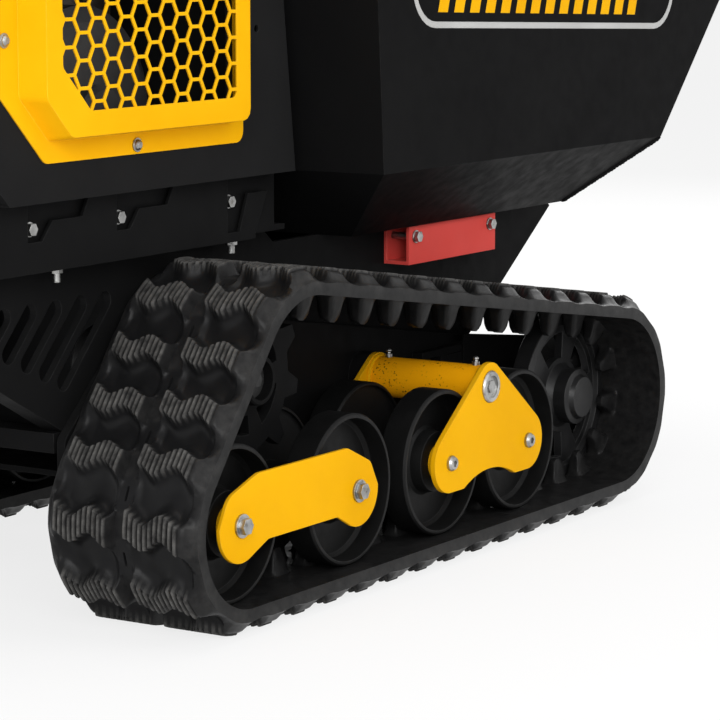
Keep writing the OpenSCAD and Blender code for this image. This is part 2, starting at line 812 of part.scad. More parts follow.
module chassis_side() {
  outline = [
    [-chassis_rear, deck_z], tail_high, tail_low, [tail_low[0], rear_bar_low], [belly_rear, belly_z],
    [belly_front, belly_z], front_knee, front_tip, front_tip + [-14, 11], [deck_front + 24, skip_seat],
    [deck_front, deck_z]
  ];
  difference() {
    polygon(outline);
    slanted_slots();
    disc([sprocket_x, sprocket_z], motor_r + seat_gap);
    for (x = prop_bolt_x) disc([x, prop_bolt_z], bolt_r + bolt_clear);
  }
}

module hinge_bracket()
  difference() {
    union() {
      disc([hinge_x, hinge_z], hinge_reach);
      polygon(tangents([hinge_x, hinge_z], hinge_reach, hinge_bar, hinge_bar_r + 6));
      disc(hinge_bar, hinge_bar_r + 6);
    }
    disc([hinge_x, hinge_z], skip_pin_r + running_fit);
  }

module cylinder_lug(p, hole_r, foot, w)
  difference() {
    union() {
      disc(p, eye_r);
      translate([p[0] - w, foot]) square([2 * w, p[1] - foot]);
    }
    disc(p, hole_r);
  }

module engine_deck() {
  difference() {
    block([-chassis_rear, -deck_half, deck_z], [deck_front, deck_half, deck_z + deck_t]);
    for (x = skirt_bolt_x, side = [right, left])
      translate([x, side * skirt_bolt_y, deck_z - 1]) cylinder(h = deck_t + 2, r = bolt_r + bolt_clear);
  }
  for (side = [right, left])
    mirror([0, side < 0 ? 1 : 0, 0])
      difference() {
        block(
          [-chassis_rear, deck_half - skirt_t, deck_z + deck_t / 2],
          [deck_front - 20, deck_half, deck_z + deck_t + upstand_h]
        );
        for (x = deck_bolt_x)
          cross_bar([x, deck_bolt_z], deck_half - skirt_t - 1, deck_half + 1, bolt_r + bolt_clear);
      }
}

module chassis_frame()
  color(black_paint) at_frame() {
    for (flip = [0, 1])
      mirror([0, flip, 0]) {
        upright(plate_inner, chassis_half) chassis_side();
        upright(chassis_half - tail_lip_w, plate_inner + 1)
          polygon([tail_high, tail_low, tail_low + [0, tail_lip_t], tail_high + [0, tail_lip_t]]);
        upright(hinge_plate_in, hinge_plate_in + hinge_plate_t) hinge_bracket();
        upright(eye_half + seat_gap, eye_half + seat_gap + eye_plate_t)
          cylinder_lug(base_pin, cylinder_pin_r + running_fit, belly_z, 24);
      }
    block([belly_rear, -weld_y, belly_z], [belly_front, weld_y, belly_z + belly_t]);
    block([-60, -weld_y, rear_bar_low], [-30, weld_y, rear_bar_low + 20]);
    cross_bar(hinge_bar, -weld_y, weld_y, hinge_bar_r);
    engine_deck();
  }

// Bolts of the deck, the skirts and the safety prop
skirt_front = 230;
skirt_flange_front = skirt_front + 6;
skirt_tab = [skirt_front + 26, deck_z + 45];
skirt_bolt_x = [-76, 222];
skirt_bolt_y = deck_half - 16;
// Front end of each notch, and the height of its leg's foot
notches = [[-54, deck_z + 26], [86, deck_z + 26], [277, deck_z + 6]];
deck_bolt_x = [for (n = notches) n[0] - 84];
deck_bolt_z = deck_z + 38;
prop_rear = 552;
prop_front = 750;
prop_low = skip_seat - 46;
prop_high = skip_seat - 2;
prop_out = chassis_half + 34;
prop_t = 4;
prop_bolt_x = [prop_rear + 14, prop_front - 14];
prop_bolt_z = prop_high - 12;

// Cut-outs in the skirt's web: a wide head and a leg below its rear end
module skirt_notch(x, foot)
  polygon([
    [x - 95, foot], [x - 73, foot], [x - 57, skirt_tab[1]], [x - 10, skirt_tab[1]],
    [x, skirt_top - 4], [x - 95, skirt_top - 4]
  ]);

module side_skirts()
  color(black_paint)
    for (side = [right, left])
      at_frame() mirror([0, side < 0 ? 1 : 0, 0]) {
        upright(skirt_out - skirt_t, skirt_out)
          difference() {
            polygon([
              [-chassis_rear, deck_z - skirt_drop], [skirt_front, deck_z - skirt_drop],
              skirt_tab, [skirt_tab[0], skirt_top], [-chassis_rear, skirt_top]
            ]);
            for (n = notches) skirt_notch(n[0], n[1]);
          }
        difference() {
          block(
            [-chassis_rear, chassis_half + 8, deck_z - skirt_drop],
            [skirt_flange_front, skirt_out - skirt_t / 2, deck_z]
          );
          for (x = skirt_bolt_x)
            translate([x, skirt_bolt_y, deck_z - skirt_drop - 1])
              cylinder(h = skirt_drop + 2, r = bolt_r + bolt_clear);
        }
      }

module bolt_up(p, grip)
  translate(p) {
    cylinder(h = grip + bolt_hang, r = bolt_r);
    translate([0, 0, bolt_hang - nut_t]) cylinder(h = nut_t, r = bolt_head_r, $fn = 6);
    translate([0, 0, bolt_hang + grip]) cylinder(h = bolt_head_t, r = bolt_head_r, $fn = 6);
  }

module bolt_across(p, y0, y1)
  translate([p[0], y1, p[1]]) rotate([90, 0, 0]) {
    cylinder(h = y1 - y0, r = bolt_r);
    translate([0, 0, -bolt_washer_t]) cylinder(h = bolt_washer_t, r = bolt_washer_r);
    translate([0, 0, -bolt_washer_t - bolt_head_t]) cylinder(h = bolt_head_t, r = bolt_head_r, $fn = 6);
  }

module frame_bolts()
  color(zinc) {
    for (side = [right, left])
      at_frame() mirror([0, side < 0 ? 1 : 0, 0]) {
        for (x = skirt_bolt_x)
          bolt_up([x, skirt_bolt_y, deck_z - skirt_drop - bolt_hang], skirt_drop + deck_t);
        for (x = deck_bolt_x) bolt_across([x, deck_bolt_z], deck_half - skirt_t - 8, deck_half);
      }
    at_frame() mirror([0, 1, 0])
      for (x = prop_bolt_x) bolt_across([x, prop_bolt_z], plate_inner - 6, prop_out);
  }

// Stored prop that holds the skip up for service
module safety_prop()
  color(red_paint) at_frame() mirror([0, 1, 0])
    difference() {
      along_x(prop_rear, prop_front)
        polygon([
          [chassis_half, prop_low], [prop_out, prop_low], [prop_out, prop_high],
          [prop_out - prop_t, prop_high], [prop_out - prop_t, prop_low + prop_t],
          [chassis_half + prop_t, prop_low + prop_t],
          [chassis_half + prop_t, prop_high], [chassis_half, prop_high]
        ]);
      for (x = prop_bolt_x)
        cross_bar([x, prop_bolt_z], chassis_half - 1, prop_out + 1, bolt_r + bolt_clear);
    }

// Skip

// Side outline of the skip, in by t on every wall and down to its floor
module skip_side(t) {
  over = t > 0 ? 1 : 0;
  polygon([
    [skip_floor_rear + t * 0.5, skip_z + t], [skip_floor_front - t * 0.5, skip_z + t],
    [skip_front - t / sin(skip_front_slope) + over / tan(skip_front_slope), skip_top + over],
    [skip_rear + t - (skip_h - skip_crease) * tan(skip_lean), skip_top + over],
    [skip_rear + t, skip_z + skip_crease]
  ]);
}

// End outline of the skip
module skip_end(t) {
  rim_half = skip_w / 2 + (skip_h - skip_crease) * tan(skip_flare) - t;
  rise = skip_top + (t > 0 ? 1 : 0);
  floor_half = skip_floor_w / 2 - t * 0.5;
  polygon([
    [-floor_half, skip_z + t], [floor_half, skip_z + t], [skip_w / 2 - t, skip_z + skip_crease],
    [rim_half, rise], [-rim_half, rise], [-skip_w / 2 + t, skip_z + skip_crease]
  ]);
}

module skip_form(t)
  intersection() {
    upright(-skip_w, skip_w) skip_side(t);
    along_x(skip_rear - 200, skip_front + 100) skip_end(t);
  }

// Folded rim round the mouth of the skip
module skip_rim() {
  half = skip_w / 2 + (skip_h - skip_crease) * tan(skip_flare);
  rear = skip_rear - (skip_h - skip_crease) * tan(skip_lean);
  difference() {
    block([rear - rim_w, -half - rim_w, skip_top - rim_t_skip], [skip_front + rim_w, half + rim_w, skip_top]);
    skip_form(skip_t);
  }
}

module skip() {
  lug_front = hinge_x + 6;
  lug_top = skip_z + (lug_front - skip_floor_front) * tan(skip_front_slope) + skip_t / 2;
  color(black_paint) at_frame() {
    difference() {
      skip_form(0);
      skip_form(skip_t);
    }
    skip_rim();
    for (flip = [0, 1])
      mirror([0, flip, 0]) {
        upright(skip_lug_in, skip_lug_in + hinge_plate_t)
          difference() {
            union() {
              disc([hinge_x, hinge_z], hinge_reach);
              polygon([
                [hinge_x - 20, hinge_z - 10], [hinge_x + 20, hinge_z - 8], [lug_front, lug_top],
                [skip_floor_front + 1, skip_z + skip_t * 0.7], [skip_floor_front - 70, skip_z + skip_t / 3]
              ]);
            }
            disc([hinge_x, hinge_z], skip_pin_r + running_fit);
          }
        upright(eye_half + seat_gap, eye_half + seat_gap + eye_plate_t)
          difference() {
            union() {
              disc(eye, cylinder_pin_r + eye_slack + 6);
              translate([eye[0] - 30, eye[1]]) square([60, skip_z - eye[1] + 1]);
            }
            disc(eye, cylinder_pin_r + eye_slack);
          }
      }
  }
}

module skip_pins()
  color(zinc) at_frame()
    for (flip = [0, 1])
      mirror([0, flip, 0]) {
        cross_bar([hinge_x, hinge_z], hinge_plate_in - 8, skip_lug_in + hinge_plate_t + 6, skip_pin_r);
        cross_bar([hinge_x, hinge_z], hinge_plate_in - 14, hinge_plate_in - 8, skip_pin_r + 5);
      }

// Tipping cylinder, drawn along +X from its base pin and turned into place
module cylinder_place()
  at_frame() translate([base_pin[0], 0, base_pin[1]]) rotate([0, -cylinder_angle, 0]) children();

module cylinder_barrel()
  color(black_paint) cylinder_place()
    difference() {
      union() {
        rotate([90, 0, 0]) translate([0, 0, -eye_half]) cylinder(h = 2 * eye_half, r = eye_r);
        translate([0, -eye_half, -neck_half]) cube([barrel_back, 2 * eye_half, 2 * neck_half]);
        translate([barrel_back - 2, 0, 0]) rotate([0, 90, 0]) cylinder(h = barrel_len, r = barrel_r);
      }
      rotate([90, 0, 0]) translate([0, 0, -eye_half - 1])
        cylinder(h = 2 * eye_half + 2, r = cylinder_pin_r + running_fit);
      translate([barrel_back + barrel_wall, 0, 0]) rotate([0, 90, 0])
        cylinder(h = barrel_len - 24, r = barrel_r - barrel_wall);
      translate([barrel_back + barrel_len - 30, 0, 0]) rotate([0, 90, 0])
        cylinder(h = 60, r = rod_r + running_fit);
    }

module cylinder_rod()
  color(zinc) cylinder_place()
    difference() {
      union() {
        translate([cylinder_len, eye_half, 0]) rotate([90, 0, 0]) cylinder(h = 2 * eye_half, r = eye_r);
        translate([cylinder_len - rod_neck, -eye_half, -neck_half])
          cube([rod_neck, 2 * eye_half, 2 * neck_half]);
        translate([piston_at, 0, 0]) rotate([0, 90, 0])
          cylinder(h = cylinder_len - piston_at - rod_neck + 2, r = rod_r);
        translate([piston_at, 0, 0]) rotate([0, 90, 0])
          cylinder(h = piston_t, r = barrel_r - barrel_wall - running_fit);
      }
      translate([cylinder_len, eye_half + 1, 0]) rotate([90, 0, 0])
        cylinder(h = 2 * eye_half + 2, r = cylinder_pin_r + running_fit);
    }

module cylinder_rod_pin()
  color(zinc) at_frame() cross_bar(rod_pin, -eye_half - 22, eye_half + 22, cylinder_pin_r);

module cylinder_base_pin()
  color(zinc) at_frame() cross_bar(base_pin, -eye_half - 14, eye_half + 14, cylinder_pin_r);

// Engine housing

module panel_outline()
  polygon([
    [-housing_rear + rear_cut, housing_z], [front_at(housing_z), housing_z],
    [front_at(housing_top), housing_top], [-housing_rear, housing_top], [-housing_rear, housing_z + rear_cut]
  ]);

// A window with its lower rear corner cut off, in by d on every side
function cut_outline(rear, low, front, high, cut, d = 0) =
  let (c = cut - (2 - sqrt(2)) * d)
  [
    [rear + d + c, low + d], [front - d, low + d], [front - d, high - d],
    [rear + d, high - d], [rear + d, low + d + c]
  ];
flange_points = cut_outline(grille_rear, grille_low, grille_front, grille_high, grille_cut);
function foot_points(d) = cut_outline(foot_rear, foot_low, foot_front, foot_high, foot_cut, d);
function face_points(d, cut = face_cut) = cut_outline(
  foot_rear + face_in, foot_low + face_low_in, foot_front - face_in, foot_high - face_in, cut, d
);
window_points = face_points(window_in, window_cut + (2 - sqrt(2)) * window_in);

module housing_panel(side)
  color(black_paint) at_frame() mirror([0, side < 0 ? 1 : 0, 0]) {
    upright(housing_half - sheet_t, housing_half)
      difference() {
        panel_outline();
        polygon(rounded(face_points(0), 12));
        for (p = grille_screw_places) disc(p, screw_r + bolt_clear);
        disc(vent_hole, vent_hole_r);
      }
    block(
      [-housing_rear + rear_cut, skirt_out - skirt_t, housing_z],
      [front_at(housing_z) - 6, housing_half - sheet_t / 2, housing_z + sheet_t]
    );
  }

grille_screw_places = [
  [(grille_rear + grille_cut + grille_front) / 2 - 20, grille_low + 9],
  [(grille_rear + foot_rear) / 2, (grille_low + grille_high) / 2 - 28],
  [(grille_rear + grille_front) / 2, grille_high - 9],
  [foot_rear - 20, grille_high - 24]
];

module hex_field() {
  pitch = hex_af + hex_web;
  step = pitch * sqrt(3) / 2;
  rear_end = foot_rear + face_in + window_in + hex_af * 0.45;
  low_end = foot_low + face_low_in + window_in - hex_af * 0.2;
  columns = ceil((foot_front - rear_end) / step);
  rows = ceil((foot_high - low_end) / pitch);
  for (i = [0:columns], j = [0:rows])
    translate([rear_end + i * step, low_end + (j + (i % 2) / 2) * pitch])
      circle(d = hex_af / cos(30), $fn = 6);
}

module grille(side) {
  y0 = housing_half;
  y1 = housing_half + grille_rise;
  color(yellow_paint) at_frame() mirror([0, side < 0 ? 1 : 0, 0]) {
    upright(y0, y0 + pan_t)
      difference() {
        polygon(rounded(flange_points, 12));
        polygon(rounded(foot_points(pan_t / 2), 12));
        for (p = grille_screw_places) disc(p, screw_r + bolt_clear);
      }
    difference() {
      hull() {
        upright(y0, y0 + pan_t) polygon(rounded(foot_points(0), 12, 3));
        upright(y1 - pan_t / 2, y1) polygon(rounded(face_points(0), 12, 3));
      }
      hull() {
        upright(y0 - pan_t, y0) polygon(rounded(foot_points(pan_t), 12, 3));
        upright(y1 - pan_t - pan_t / 2, y1 - pan_t) polygon(rounded(face_points(pan_t), 12, 3));
      }
      upright(y1 - 2 * pan_t, y1 + pan_t)
        intersection() {
          polygon(rounded(window_points, 8));
          hex_field();
        }
    }
  }
}

module grille_screws() {
  seat = housing_half + pan_t;
  screw_grip = sheet_t + pan_t + 6;
  color(zinc)
    for (flip = [0, 1], p = grille_screw_places)
      at_frame() mirror([0, flip, 0])
        turned(p, [
          [0, seat - screw_grip], [screw_r, seat - screw_grip], [screw_r, seat], [screw_head_r, seat],
          [screw_head_r, seat + 1.5], [screw_head_r - 1.5, seat + 1.5],
          [screw_head_r - 2, seat + screw_head_t - 1.5], [screw_head_r - 4, seat + screw_head_t],
          [0, seat + screw_head_t]
        ]);
}

// Folded sheet over the engine: front wall, roof and rear wall
module hood() {
  half = housing_half - sheet_t - seat_gap;
  t = sheet_t;
  foot = housing_z + sheet_t + seat_gap;
  color(black_paint) at_frame()
    difference() {
      upright(-half, half)
        difference() {
          polygon([
            [front_at(foot), foot], [front_at(housing_top), housing_top], [-housing_rear, housing_top],
            [-housing_rear, housing_z + rear_cut], [-housing_rear + rear_cut - t, foot]
          ]);
          polygon([
            [front_at(foot) - t, foot - 1], [front_at(housing_top - t) - t, housing_top - t],
            [-housing_rear + t, housing_top - t], [-housing_rear + t, housing_z + rear_cut + t * 0.42],
            [-housing_rear + rear_cut + t, foot - 1]
          ]);
        }
      translate([cap_x, cap_y, housing_top - t - 1]) cylinder(h = t + 2, r = neck_r + 2);
    }
}

// Engine and hydraulics

crank = [0, deck_z + deck_t + 128];
engine_top = deck_z + deck_t + 250;
engine_half = 120;
engine_side = 105;
block_h = 190;
fin_half = 72;
fin_side = 76;
fin_t = 4;
fin_pitch = 9;
fan_r = 112;
muffler_l = 104;
muffler_h = 86;
fan_out = engine_side + 91;
cap_x = 40;
cap_y = 0;
neck_r = 26;
cap_r = 34;

module engine()
  color(cast_grey) at_frame() {
    floor_z = deck_z + deck_t;
    difference() {
      block([-engine_half, -engine_side, floor_z], [engine_half, engine_side, floor_z + block_h]);
      for (x = [-engine_half, engine_half])
        translate([x, 0, floor_z + block_h]) rotate([0, 45, 0])
          cube([50, 3 * engine_side, 50], center = true);
    }
    for (x = [-engine_half - 30, engine_half - 8])
      block([x, 15 - engine_side, floor_z], [x + 38, engine_side - 15, floor_z + 12]);
    block([20 - fin_half, 18 - fin_side, floor_z + block_h - 10], [fin_half - 20, fin_side - 18, engine_top]);
    for (i = [0:6])
      translate([0, 0, floor_z + block_h + i * fin_pitch])
        block([-fin_half, -fin_side, -fin_t], [fin_half, fin_side, 0]);
    turned(crank, [
      [0, -fan_out], [30, -fan_out], [34, 6 - fan_out], [34, 16 - fan_out], [fan_r - 16, 20 - fan_out],
      [fan_r, 30 - fan_out], [fan_r, 1 - engine_side], [0, 1 - engine_side]
    ]);
  }

module muffler()
  color(steel) at_frame() {
    floor_z = deck_z + deck_t + 200;
    upright(-70, 100)
      polygon(rounded([
        [fin_half, floor_z], [fin_half + muffler_l, floor_z],
        [fin_half + muffler_l, floor_z + muffler_h], [fin_half, floor_z + muffler_h]
      ], 24, 6));
    cross_bar([fin_half + muffler_l / 2, floor_z + muffler_h / 2], 90, 130, 14);
  }

module air_filter()
  color(black_plastic) at_frame() {
    floor_z = deck_z + deck_t + 194;
    difference() {
      upright(-70, 70)
        polygon(rounded([
          [-fin_half - 106, floor_z], [-fin_half, floor_z],
          [-fin_half, floor_z + 92], [-fin_half - 106, floor_z + 92]
        ], 14, 5));
      for (i = [0:4])
        block(
          [-fin_half - 107, -50 + i * 22, floor_z + 20], [-fin_half - 103, -40 + i * 22, floor_z + 74]
        );
    }
  }

tank_low = engine_top + 48;
oil_tank_rear = 190;
oil_tank_front = 430;
oil_tank_h = 190;
valve_rear = -150;
valve_half = 80;

module fuel_tank()
  color(black_plastic) at_frame() {
    upright(-150, 150)
      polygon(rounded([
        [-170, tank_low], [130, tank_low], [130, housing_top - 40], [-170, housing_top - 40]
      ], 26, 6));
    block([-40, -40, engine_top], [-20, 40, tank_low + 1]);
    translate([cap_x, cap_y, housing_top - 60]) cylinder(h = 66, r = neck_r);
  }

module fuel_cap()
  color(black_plastic) at_frame() translate([cap_x, cap_y, housing_top + 6 + seat_gap])
    difference() {
      cylinder(h = 20, r = cap_r);
      for (a = [0:30:330]) rotate(a) translate([cap_r + 1, 0, 4]) cylinder(h = 20, r = 4);
    }

module hydraulic_pump()
  color(cast_grey) at_frame() {
    turned(crank, [[0, 105], [56, 105], [56, 117], [44, 117], [44, 176], [36, 184], [0, 184]]);
    block([-18, 120, crank[1] + 30], [18, 168, crank[1] + 64]);
  }

module hydraulic_tank()
  color(black_paint) at_frame() {
    half = plate_inner - 28;
    foot = belly_z + belly_t;
    upright(-half, half)
      polygon(rounded([
        [oil_tank_rear, foot], [oil_tank_front, foot],
        [oil_tank_front, foot + oil_tank_h], [oil_tank_rear, foot + oil_tank_h]
      ], 18, 5));
    translate([(oil_tank_rear + oil_tank_front) / 2, half - 50, foot + oil_tank_h - 6])
      cylinder(h = 18, r = 30);
  }

module control_valve()
  color(cast_grey) at_frame() {
    block([valve_rear, -valve_half, deck_z - 62], [valve_rear + 110, valve_half, deck_z]);
    for (i = [-1.5:1.5])
      translate([valve_rear + 55, i * 36, deck_z - 76]) cylinder(h = 20, r = 12);
  }

// Controls

function console_top_at(x) =
  housing_top + console_low
  + (console_high - console_low) * (x - console_rear) / (console_front - 40 - console_rear);
lever_pivots = [for (y = lever_y) [lever_x, y, console_top_at(lever_x) - lever_sink]];

module console()
  color(black_plastic) at_frame()
    difference() {
      upright(-console_half, console_half)
        polygon(rounded([
          [console_front, housing_top], [console_front - 40, housing_top + console_high],
          [console_rear, housing_top + console_low], [console_rear + 16, housing_top]
        ], 10, 5));
      for (p = lever_pivots) {
        translate([p[0] - lever_slot_l / 2, p[1] - lever_slot_w / 2, p[2] - 14])
          cube([lever_slot_l, lever_slot_w, 120]);
        cross_bar(
          [p[0], p[2]], p[1] - lever_slot_w / 2 - 10, p[1] + lever_slot_w / 2 + 10, trunnion_r + running_fit
        );
      }
    }

// A lever on its trunnion, with a round knob
module lever(i, h, knob) {
  p = lever_pivots[i];
  at_frame() translate(p) {
    cross_bar([0, 0], -lever_slot_w / 2 - 9, lever_slot_w / 2 + 9, trunnion_r);
    cross_bar([0, 0], -lever_slot_w / 2 + 1, lever_slot_w / 2 - 1, lever_hub_r);
    cylinder(h = h + lever_sink, r = lever_r);
    translate([0, 0, h + lever_sink]) sphere(r = knob);
  }
}

module drive_lever(side)
  color(black_plastic) lever(side < 0 ? 0 : 1, lever_h, knob_r);

module tip_lever()
  color(black_plastic) lever(2, lever_h - 30, knob_r - 3);

module throttle_lever()
  color(black_plastic) lever(3, lever_h - 60, knob_r - 5);

// Handlebar: two legs that rise from the housing's rear wall and a bar across
module handlebar() {
  rise = bar_top - bar_root_z;
  run = bar_reach;
  leg = norm([run, rise]);
  slope = atan2(rise, run);
  half = bar_w / 2 - bar_r;
  color(black_paint) at_frame() {
    difference() {
      translate([-housing_rear, 0, bar_root_z]) rotate([0, slope, 0]) rotate([0, 0, 180])
        for (flip = [0, 1])
          mirror([0, flip, 0]) {
            translate([0, half, 0]) rotate([0, 90, 0]) cylinder(h = leg - bar_bend, r = bar_r);
            translate([leg - bar_bend, half - bar_bend, 0])
              rotate_extrude(angle = 90) translate([bar_bend, 0]) circle(r = bar_r);
            translate([leg, -eps, 0]) rotate([-90, 0, 0]) cylinder(h = half - bar_bend + eps, r = bar_r);
          }
      block([-housing_rear, -bar_w, bar_root_z - 100], [-housing_rear + 60, bar_w, bar_root_z + 100]);
    }
    for (flip = [0, 1])
      mirror([0, flip, 0])
        translate([-housing_rear - bar_foot_t, half, bar_root_z]) rotate([0, 90, 0])
          linear_extrude(bar_foot_t) polygon(rounded([[-46, -24], [46, -24], [46, 24], [-46, 24]], 10));
  }
}

module handle_grips()
  color(rubber) at_frame()
    for (flip = [0, 1])
      mirror([0, flip, 0])
        translate([0, bar_w / 2 - bar_r - bar_bend - grip_len, 0])
          turned([bar_rear, bar_top], [
            [bar_r + running_fit, 0], [bar_r + grip_t, 0],
            [bar_r + grip_t, grip_len], [bar_r + running_fit, grip_len]
          ]);

chassis_frame();
side_skirts();
track_frame(right);  // track_frame_right
track_frame(left);  // track_frame_left
track(right);  // track_right
track(left);  // track_left
rear_axles();
tie_plate(right);  // tie_plate_right
tie_plate(left);  // tie_plate_left
bogie_pins();
drive_motors();
skip_pins();
cylinder_base_pin();
housing_panel(right);  // housing_right
housing_panel(left);  // housing_left
grille(right);  // grille_right
grille(left);  // grille_left
hood();
console();
engine();
muffler();
air_filter();
fuel_tank();
hydraulic_pump();
hydraulic_tank();
control_valve();
handlebar();
handle_grips();
safety_prop();
frame_bolts();
grille_screws();
skip();
cylinder_barrel();
cylinder_rod();
cylinder_rod_pin();
sprocket(right);  // sprocket_right
sprocket(left);  // sprocket_left
drive_shaft(right);  // drive_shaft_right
drive_shaft(left);  // drive_shaft_left
idler_slide(right);  // idler_slide_right
idler_slide(left);  // idler_slide_left
idler(right);  // idler_right
idler(left);  // idler_left
wheels(right, 0);  // wheels_1_right
wheels(left, 0);  // wheels_1_left
wheels(right, 1);  // wheels_2_right
wheels(left, 1);  // wheels_2_left
wheels(right, 2);  // wheels_3_right
wheels(left, 2);  // wheels_3_left
wheels(right, 3);  // wheels_4_right
wheels(left, 3);  // wheels_4_left
bogie(right);  // bogie_right
bogie(left);  // bogie_left
bogie_axles(right);  // bogie_axles_right
bogie_axles(left);  // bogie_axles_left
drive_lever(right);  // drive_lever_right
drive_lever(left);  // drive_lever_left
tip_lever();
throttle_lever();
fuel_cap();
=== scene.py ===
"""Looks of the tracked power carrier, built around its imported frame. Metres, X forward, Y left, Z up."""

import json
import math

import bmesh
import bpy
import numpy as np
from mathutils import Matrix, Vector
from mathutils.geometry import tessellate_polygon


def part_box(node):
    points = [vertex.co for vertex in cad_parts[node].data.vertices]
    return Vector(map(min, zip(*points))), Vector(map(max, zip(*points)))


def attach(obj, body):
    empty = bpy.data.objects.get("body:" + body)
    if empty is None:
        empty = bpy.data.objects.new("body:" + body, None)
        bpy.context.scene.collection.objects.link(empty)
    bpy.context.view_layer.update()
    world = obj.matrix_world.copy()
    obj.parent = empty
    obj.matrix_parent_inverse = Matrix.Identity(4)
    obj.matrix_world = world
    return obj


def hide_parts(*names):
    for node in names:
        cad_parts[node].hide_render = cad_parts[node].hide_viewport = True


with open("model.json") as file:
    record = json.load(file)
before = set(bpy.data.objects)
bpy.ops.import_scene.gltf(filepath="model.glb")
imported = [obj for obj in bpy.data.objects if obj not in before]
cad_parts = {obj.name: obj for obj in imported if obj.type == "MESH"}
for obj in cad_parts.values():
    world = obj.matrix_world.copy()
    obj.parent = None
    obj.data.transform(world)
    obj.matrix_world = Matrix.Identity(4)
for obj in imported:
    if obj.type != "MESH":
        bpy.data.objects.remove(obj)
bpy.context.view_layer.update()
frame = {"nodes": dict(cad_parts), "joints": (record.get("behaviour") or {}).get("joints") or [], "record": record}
nodes = frame["nodes"]
joint_at = {j["name"]: Vector(j["pos_m"]) for j in frame["joints"] if "pos_m" in j}

SIDES = {"right": -1, "left": 1}
MM = 0.001
AXLE_X = joint_at["wheels_1_spin_right"].x

# Sizes that several sections share
GAUGE_HALF = 0.280
BOGIE_TUBE_R = 0.023
BOGIE_PLATE_IN = 0.070

# Radius to which the materials soften a sharp edge
EDGE_R = 0.0014


# Materials

def set_inputs(tree, node, inputs):
    """Links the sockets among the inputs, and sets the plain values on the node's own sockets."""
    for key, value in inputs.items():
        if isinstance(value, bpy.types.NodeSocket):
            tree.links.new(value, node.inputs[key])
        else:
            node.inputs[key].default_value = value


def add(tree, kind, inputs=None, **settings):
    """A new node of a kind, with its settings and inputs."""
    node = tree.nodes.new(kind)
    for key, value in settings.items():
        setattr(node, key, value)
    set_inputs(tree, node, inputs or {})
    return node


# Sockets of the Mix node when it mixes colours
MIX_A = 6
MIX_B = 7
MIX_RESULT = 2


class Surface:
    """A principled material under construction, with helpers for its node tree."""

    def __init__(self, name, constants):
        self.material = bpy.data.materials.new(name)
        self.material.use_nodes = True
        self.tree = self.material.node_tree
        self.shader = self.tree.nodes["Principled BSDF"]
        set_inputs(self.tree, self.shader, constants)
        self.place = add(self.tree, "ShaderNodeTexCoord").outputs["Object"]
        self.soft = None

    def noise(self, scale, detail=2.0, roughness=0.5, stretch=None):
        place = self.place
        if stretch:
            stretched = add(self.tree, "ShaderNodeVectorMath", {0: place, 1: stretch}, operation="MULTIPLY")
            place = stretched.outputs[0]
        inputs = {"Vector": place, "Scale": scale, "Detail": detail, "Roughness": roughness}
        return add(self.tree, "ShaderNodeTexNoise", inputs).outputs["Fac"]

    def spots(self, scale):
        inputs = {"Vector": self.place, "Scale": scale}
        return add(self.tree, "ShaderNodeTexVoronoi", inputs).outputs["Distance"]

    def ramp(self, value, low, high, to_low=0.0, to_high=1.0):
        inputs = {"Value": value, "From Min": low, "From Max": high, "To Min": to_low, "To Max": to_high}
        return add(self.tree, "ShaderNodeMapRange", inputs).outputs["Result"]

    def math(self, operation, a, b):
        return add(self.tree, "ShaderNodeMath", {0: a, 1: b}, operation=operation).outputs[0]

    def mix(self, factor, a, b):
        inputs = {"Factor": factor}
        for index, value in ((MIX_A, a), (MIX_B, b)):
            linked = isinstance(value, bpy.types.NodeSocket)
            inputs[index] = value if linked else (*value, 1.0)
        return add(self.tree, "ShaderNodeMix", inputs, data_type="RGBA").outputs[MIX_RESULT]

    def facing_up(self):
        """1 on surfaces that face the sky, 0 on walls and undersides."""
        normal = add(self.tree, "ShaderNodeNewGeometry").outputs["Normal"]
        z = add(self.tree, "ShaderNodeSeparateXYZ", {0: normal}).outputs["Z"]
        return self.ramp(z, 0.25, 0.95)

    def attribute(self, name):
        return add(self.tree, "ShaderNodeAttribute", attribute_name=name).outputs["Fac"]

    def round_edges(self, radius):
        """Softens the shading of sharp edges, and gives 1 on an edge and 0 away from it."""
        self.soft = add(self.tree, "ShaderNodeBevel", {"Radius": radius}, samples=6).outputs["Normal"]
        normal = add(self.tree, "ShaderNodeNewGeometry").outputs["Normal"]
        turn = add(self.tree, "ShaderNodeVectorMath", {0: self.soft, 1: normal}, operation="DOT_PRODUCT")
        return self.ramp(turn.outputs["Value"], 0.80, 0.985, 1.0, 0.0)

    def bump(self, height, strength, distance):
        inputs = {"Height": height, "Strength": strength, "Distance": distance}
        if self.soft:
            inputs["Normal"] = self.soft
        normal = add(self.tree, "ShaderNodeBump", inputs).outputs["Normal"]
        self.tree.links.new(normal, self.shader.inputs["Normal"])

    def finish(self, **links):
        for key, value in links.items():
            self.tree.links.new(value, self.shader.inputs[key.replace("_", " ")])
        return self.material


def scaled(colour, share):
    """A darker or lighter tone of a colour."""
    return tuple(share * c for c in colour)


def level(value):
    """The constant that says how strongly a surface that isn't metal mirrors."""
    return {"Specular IOR Level": value}


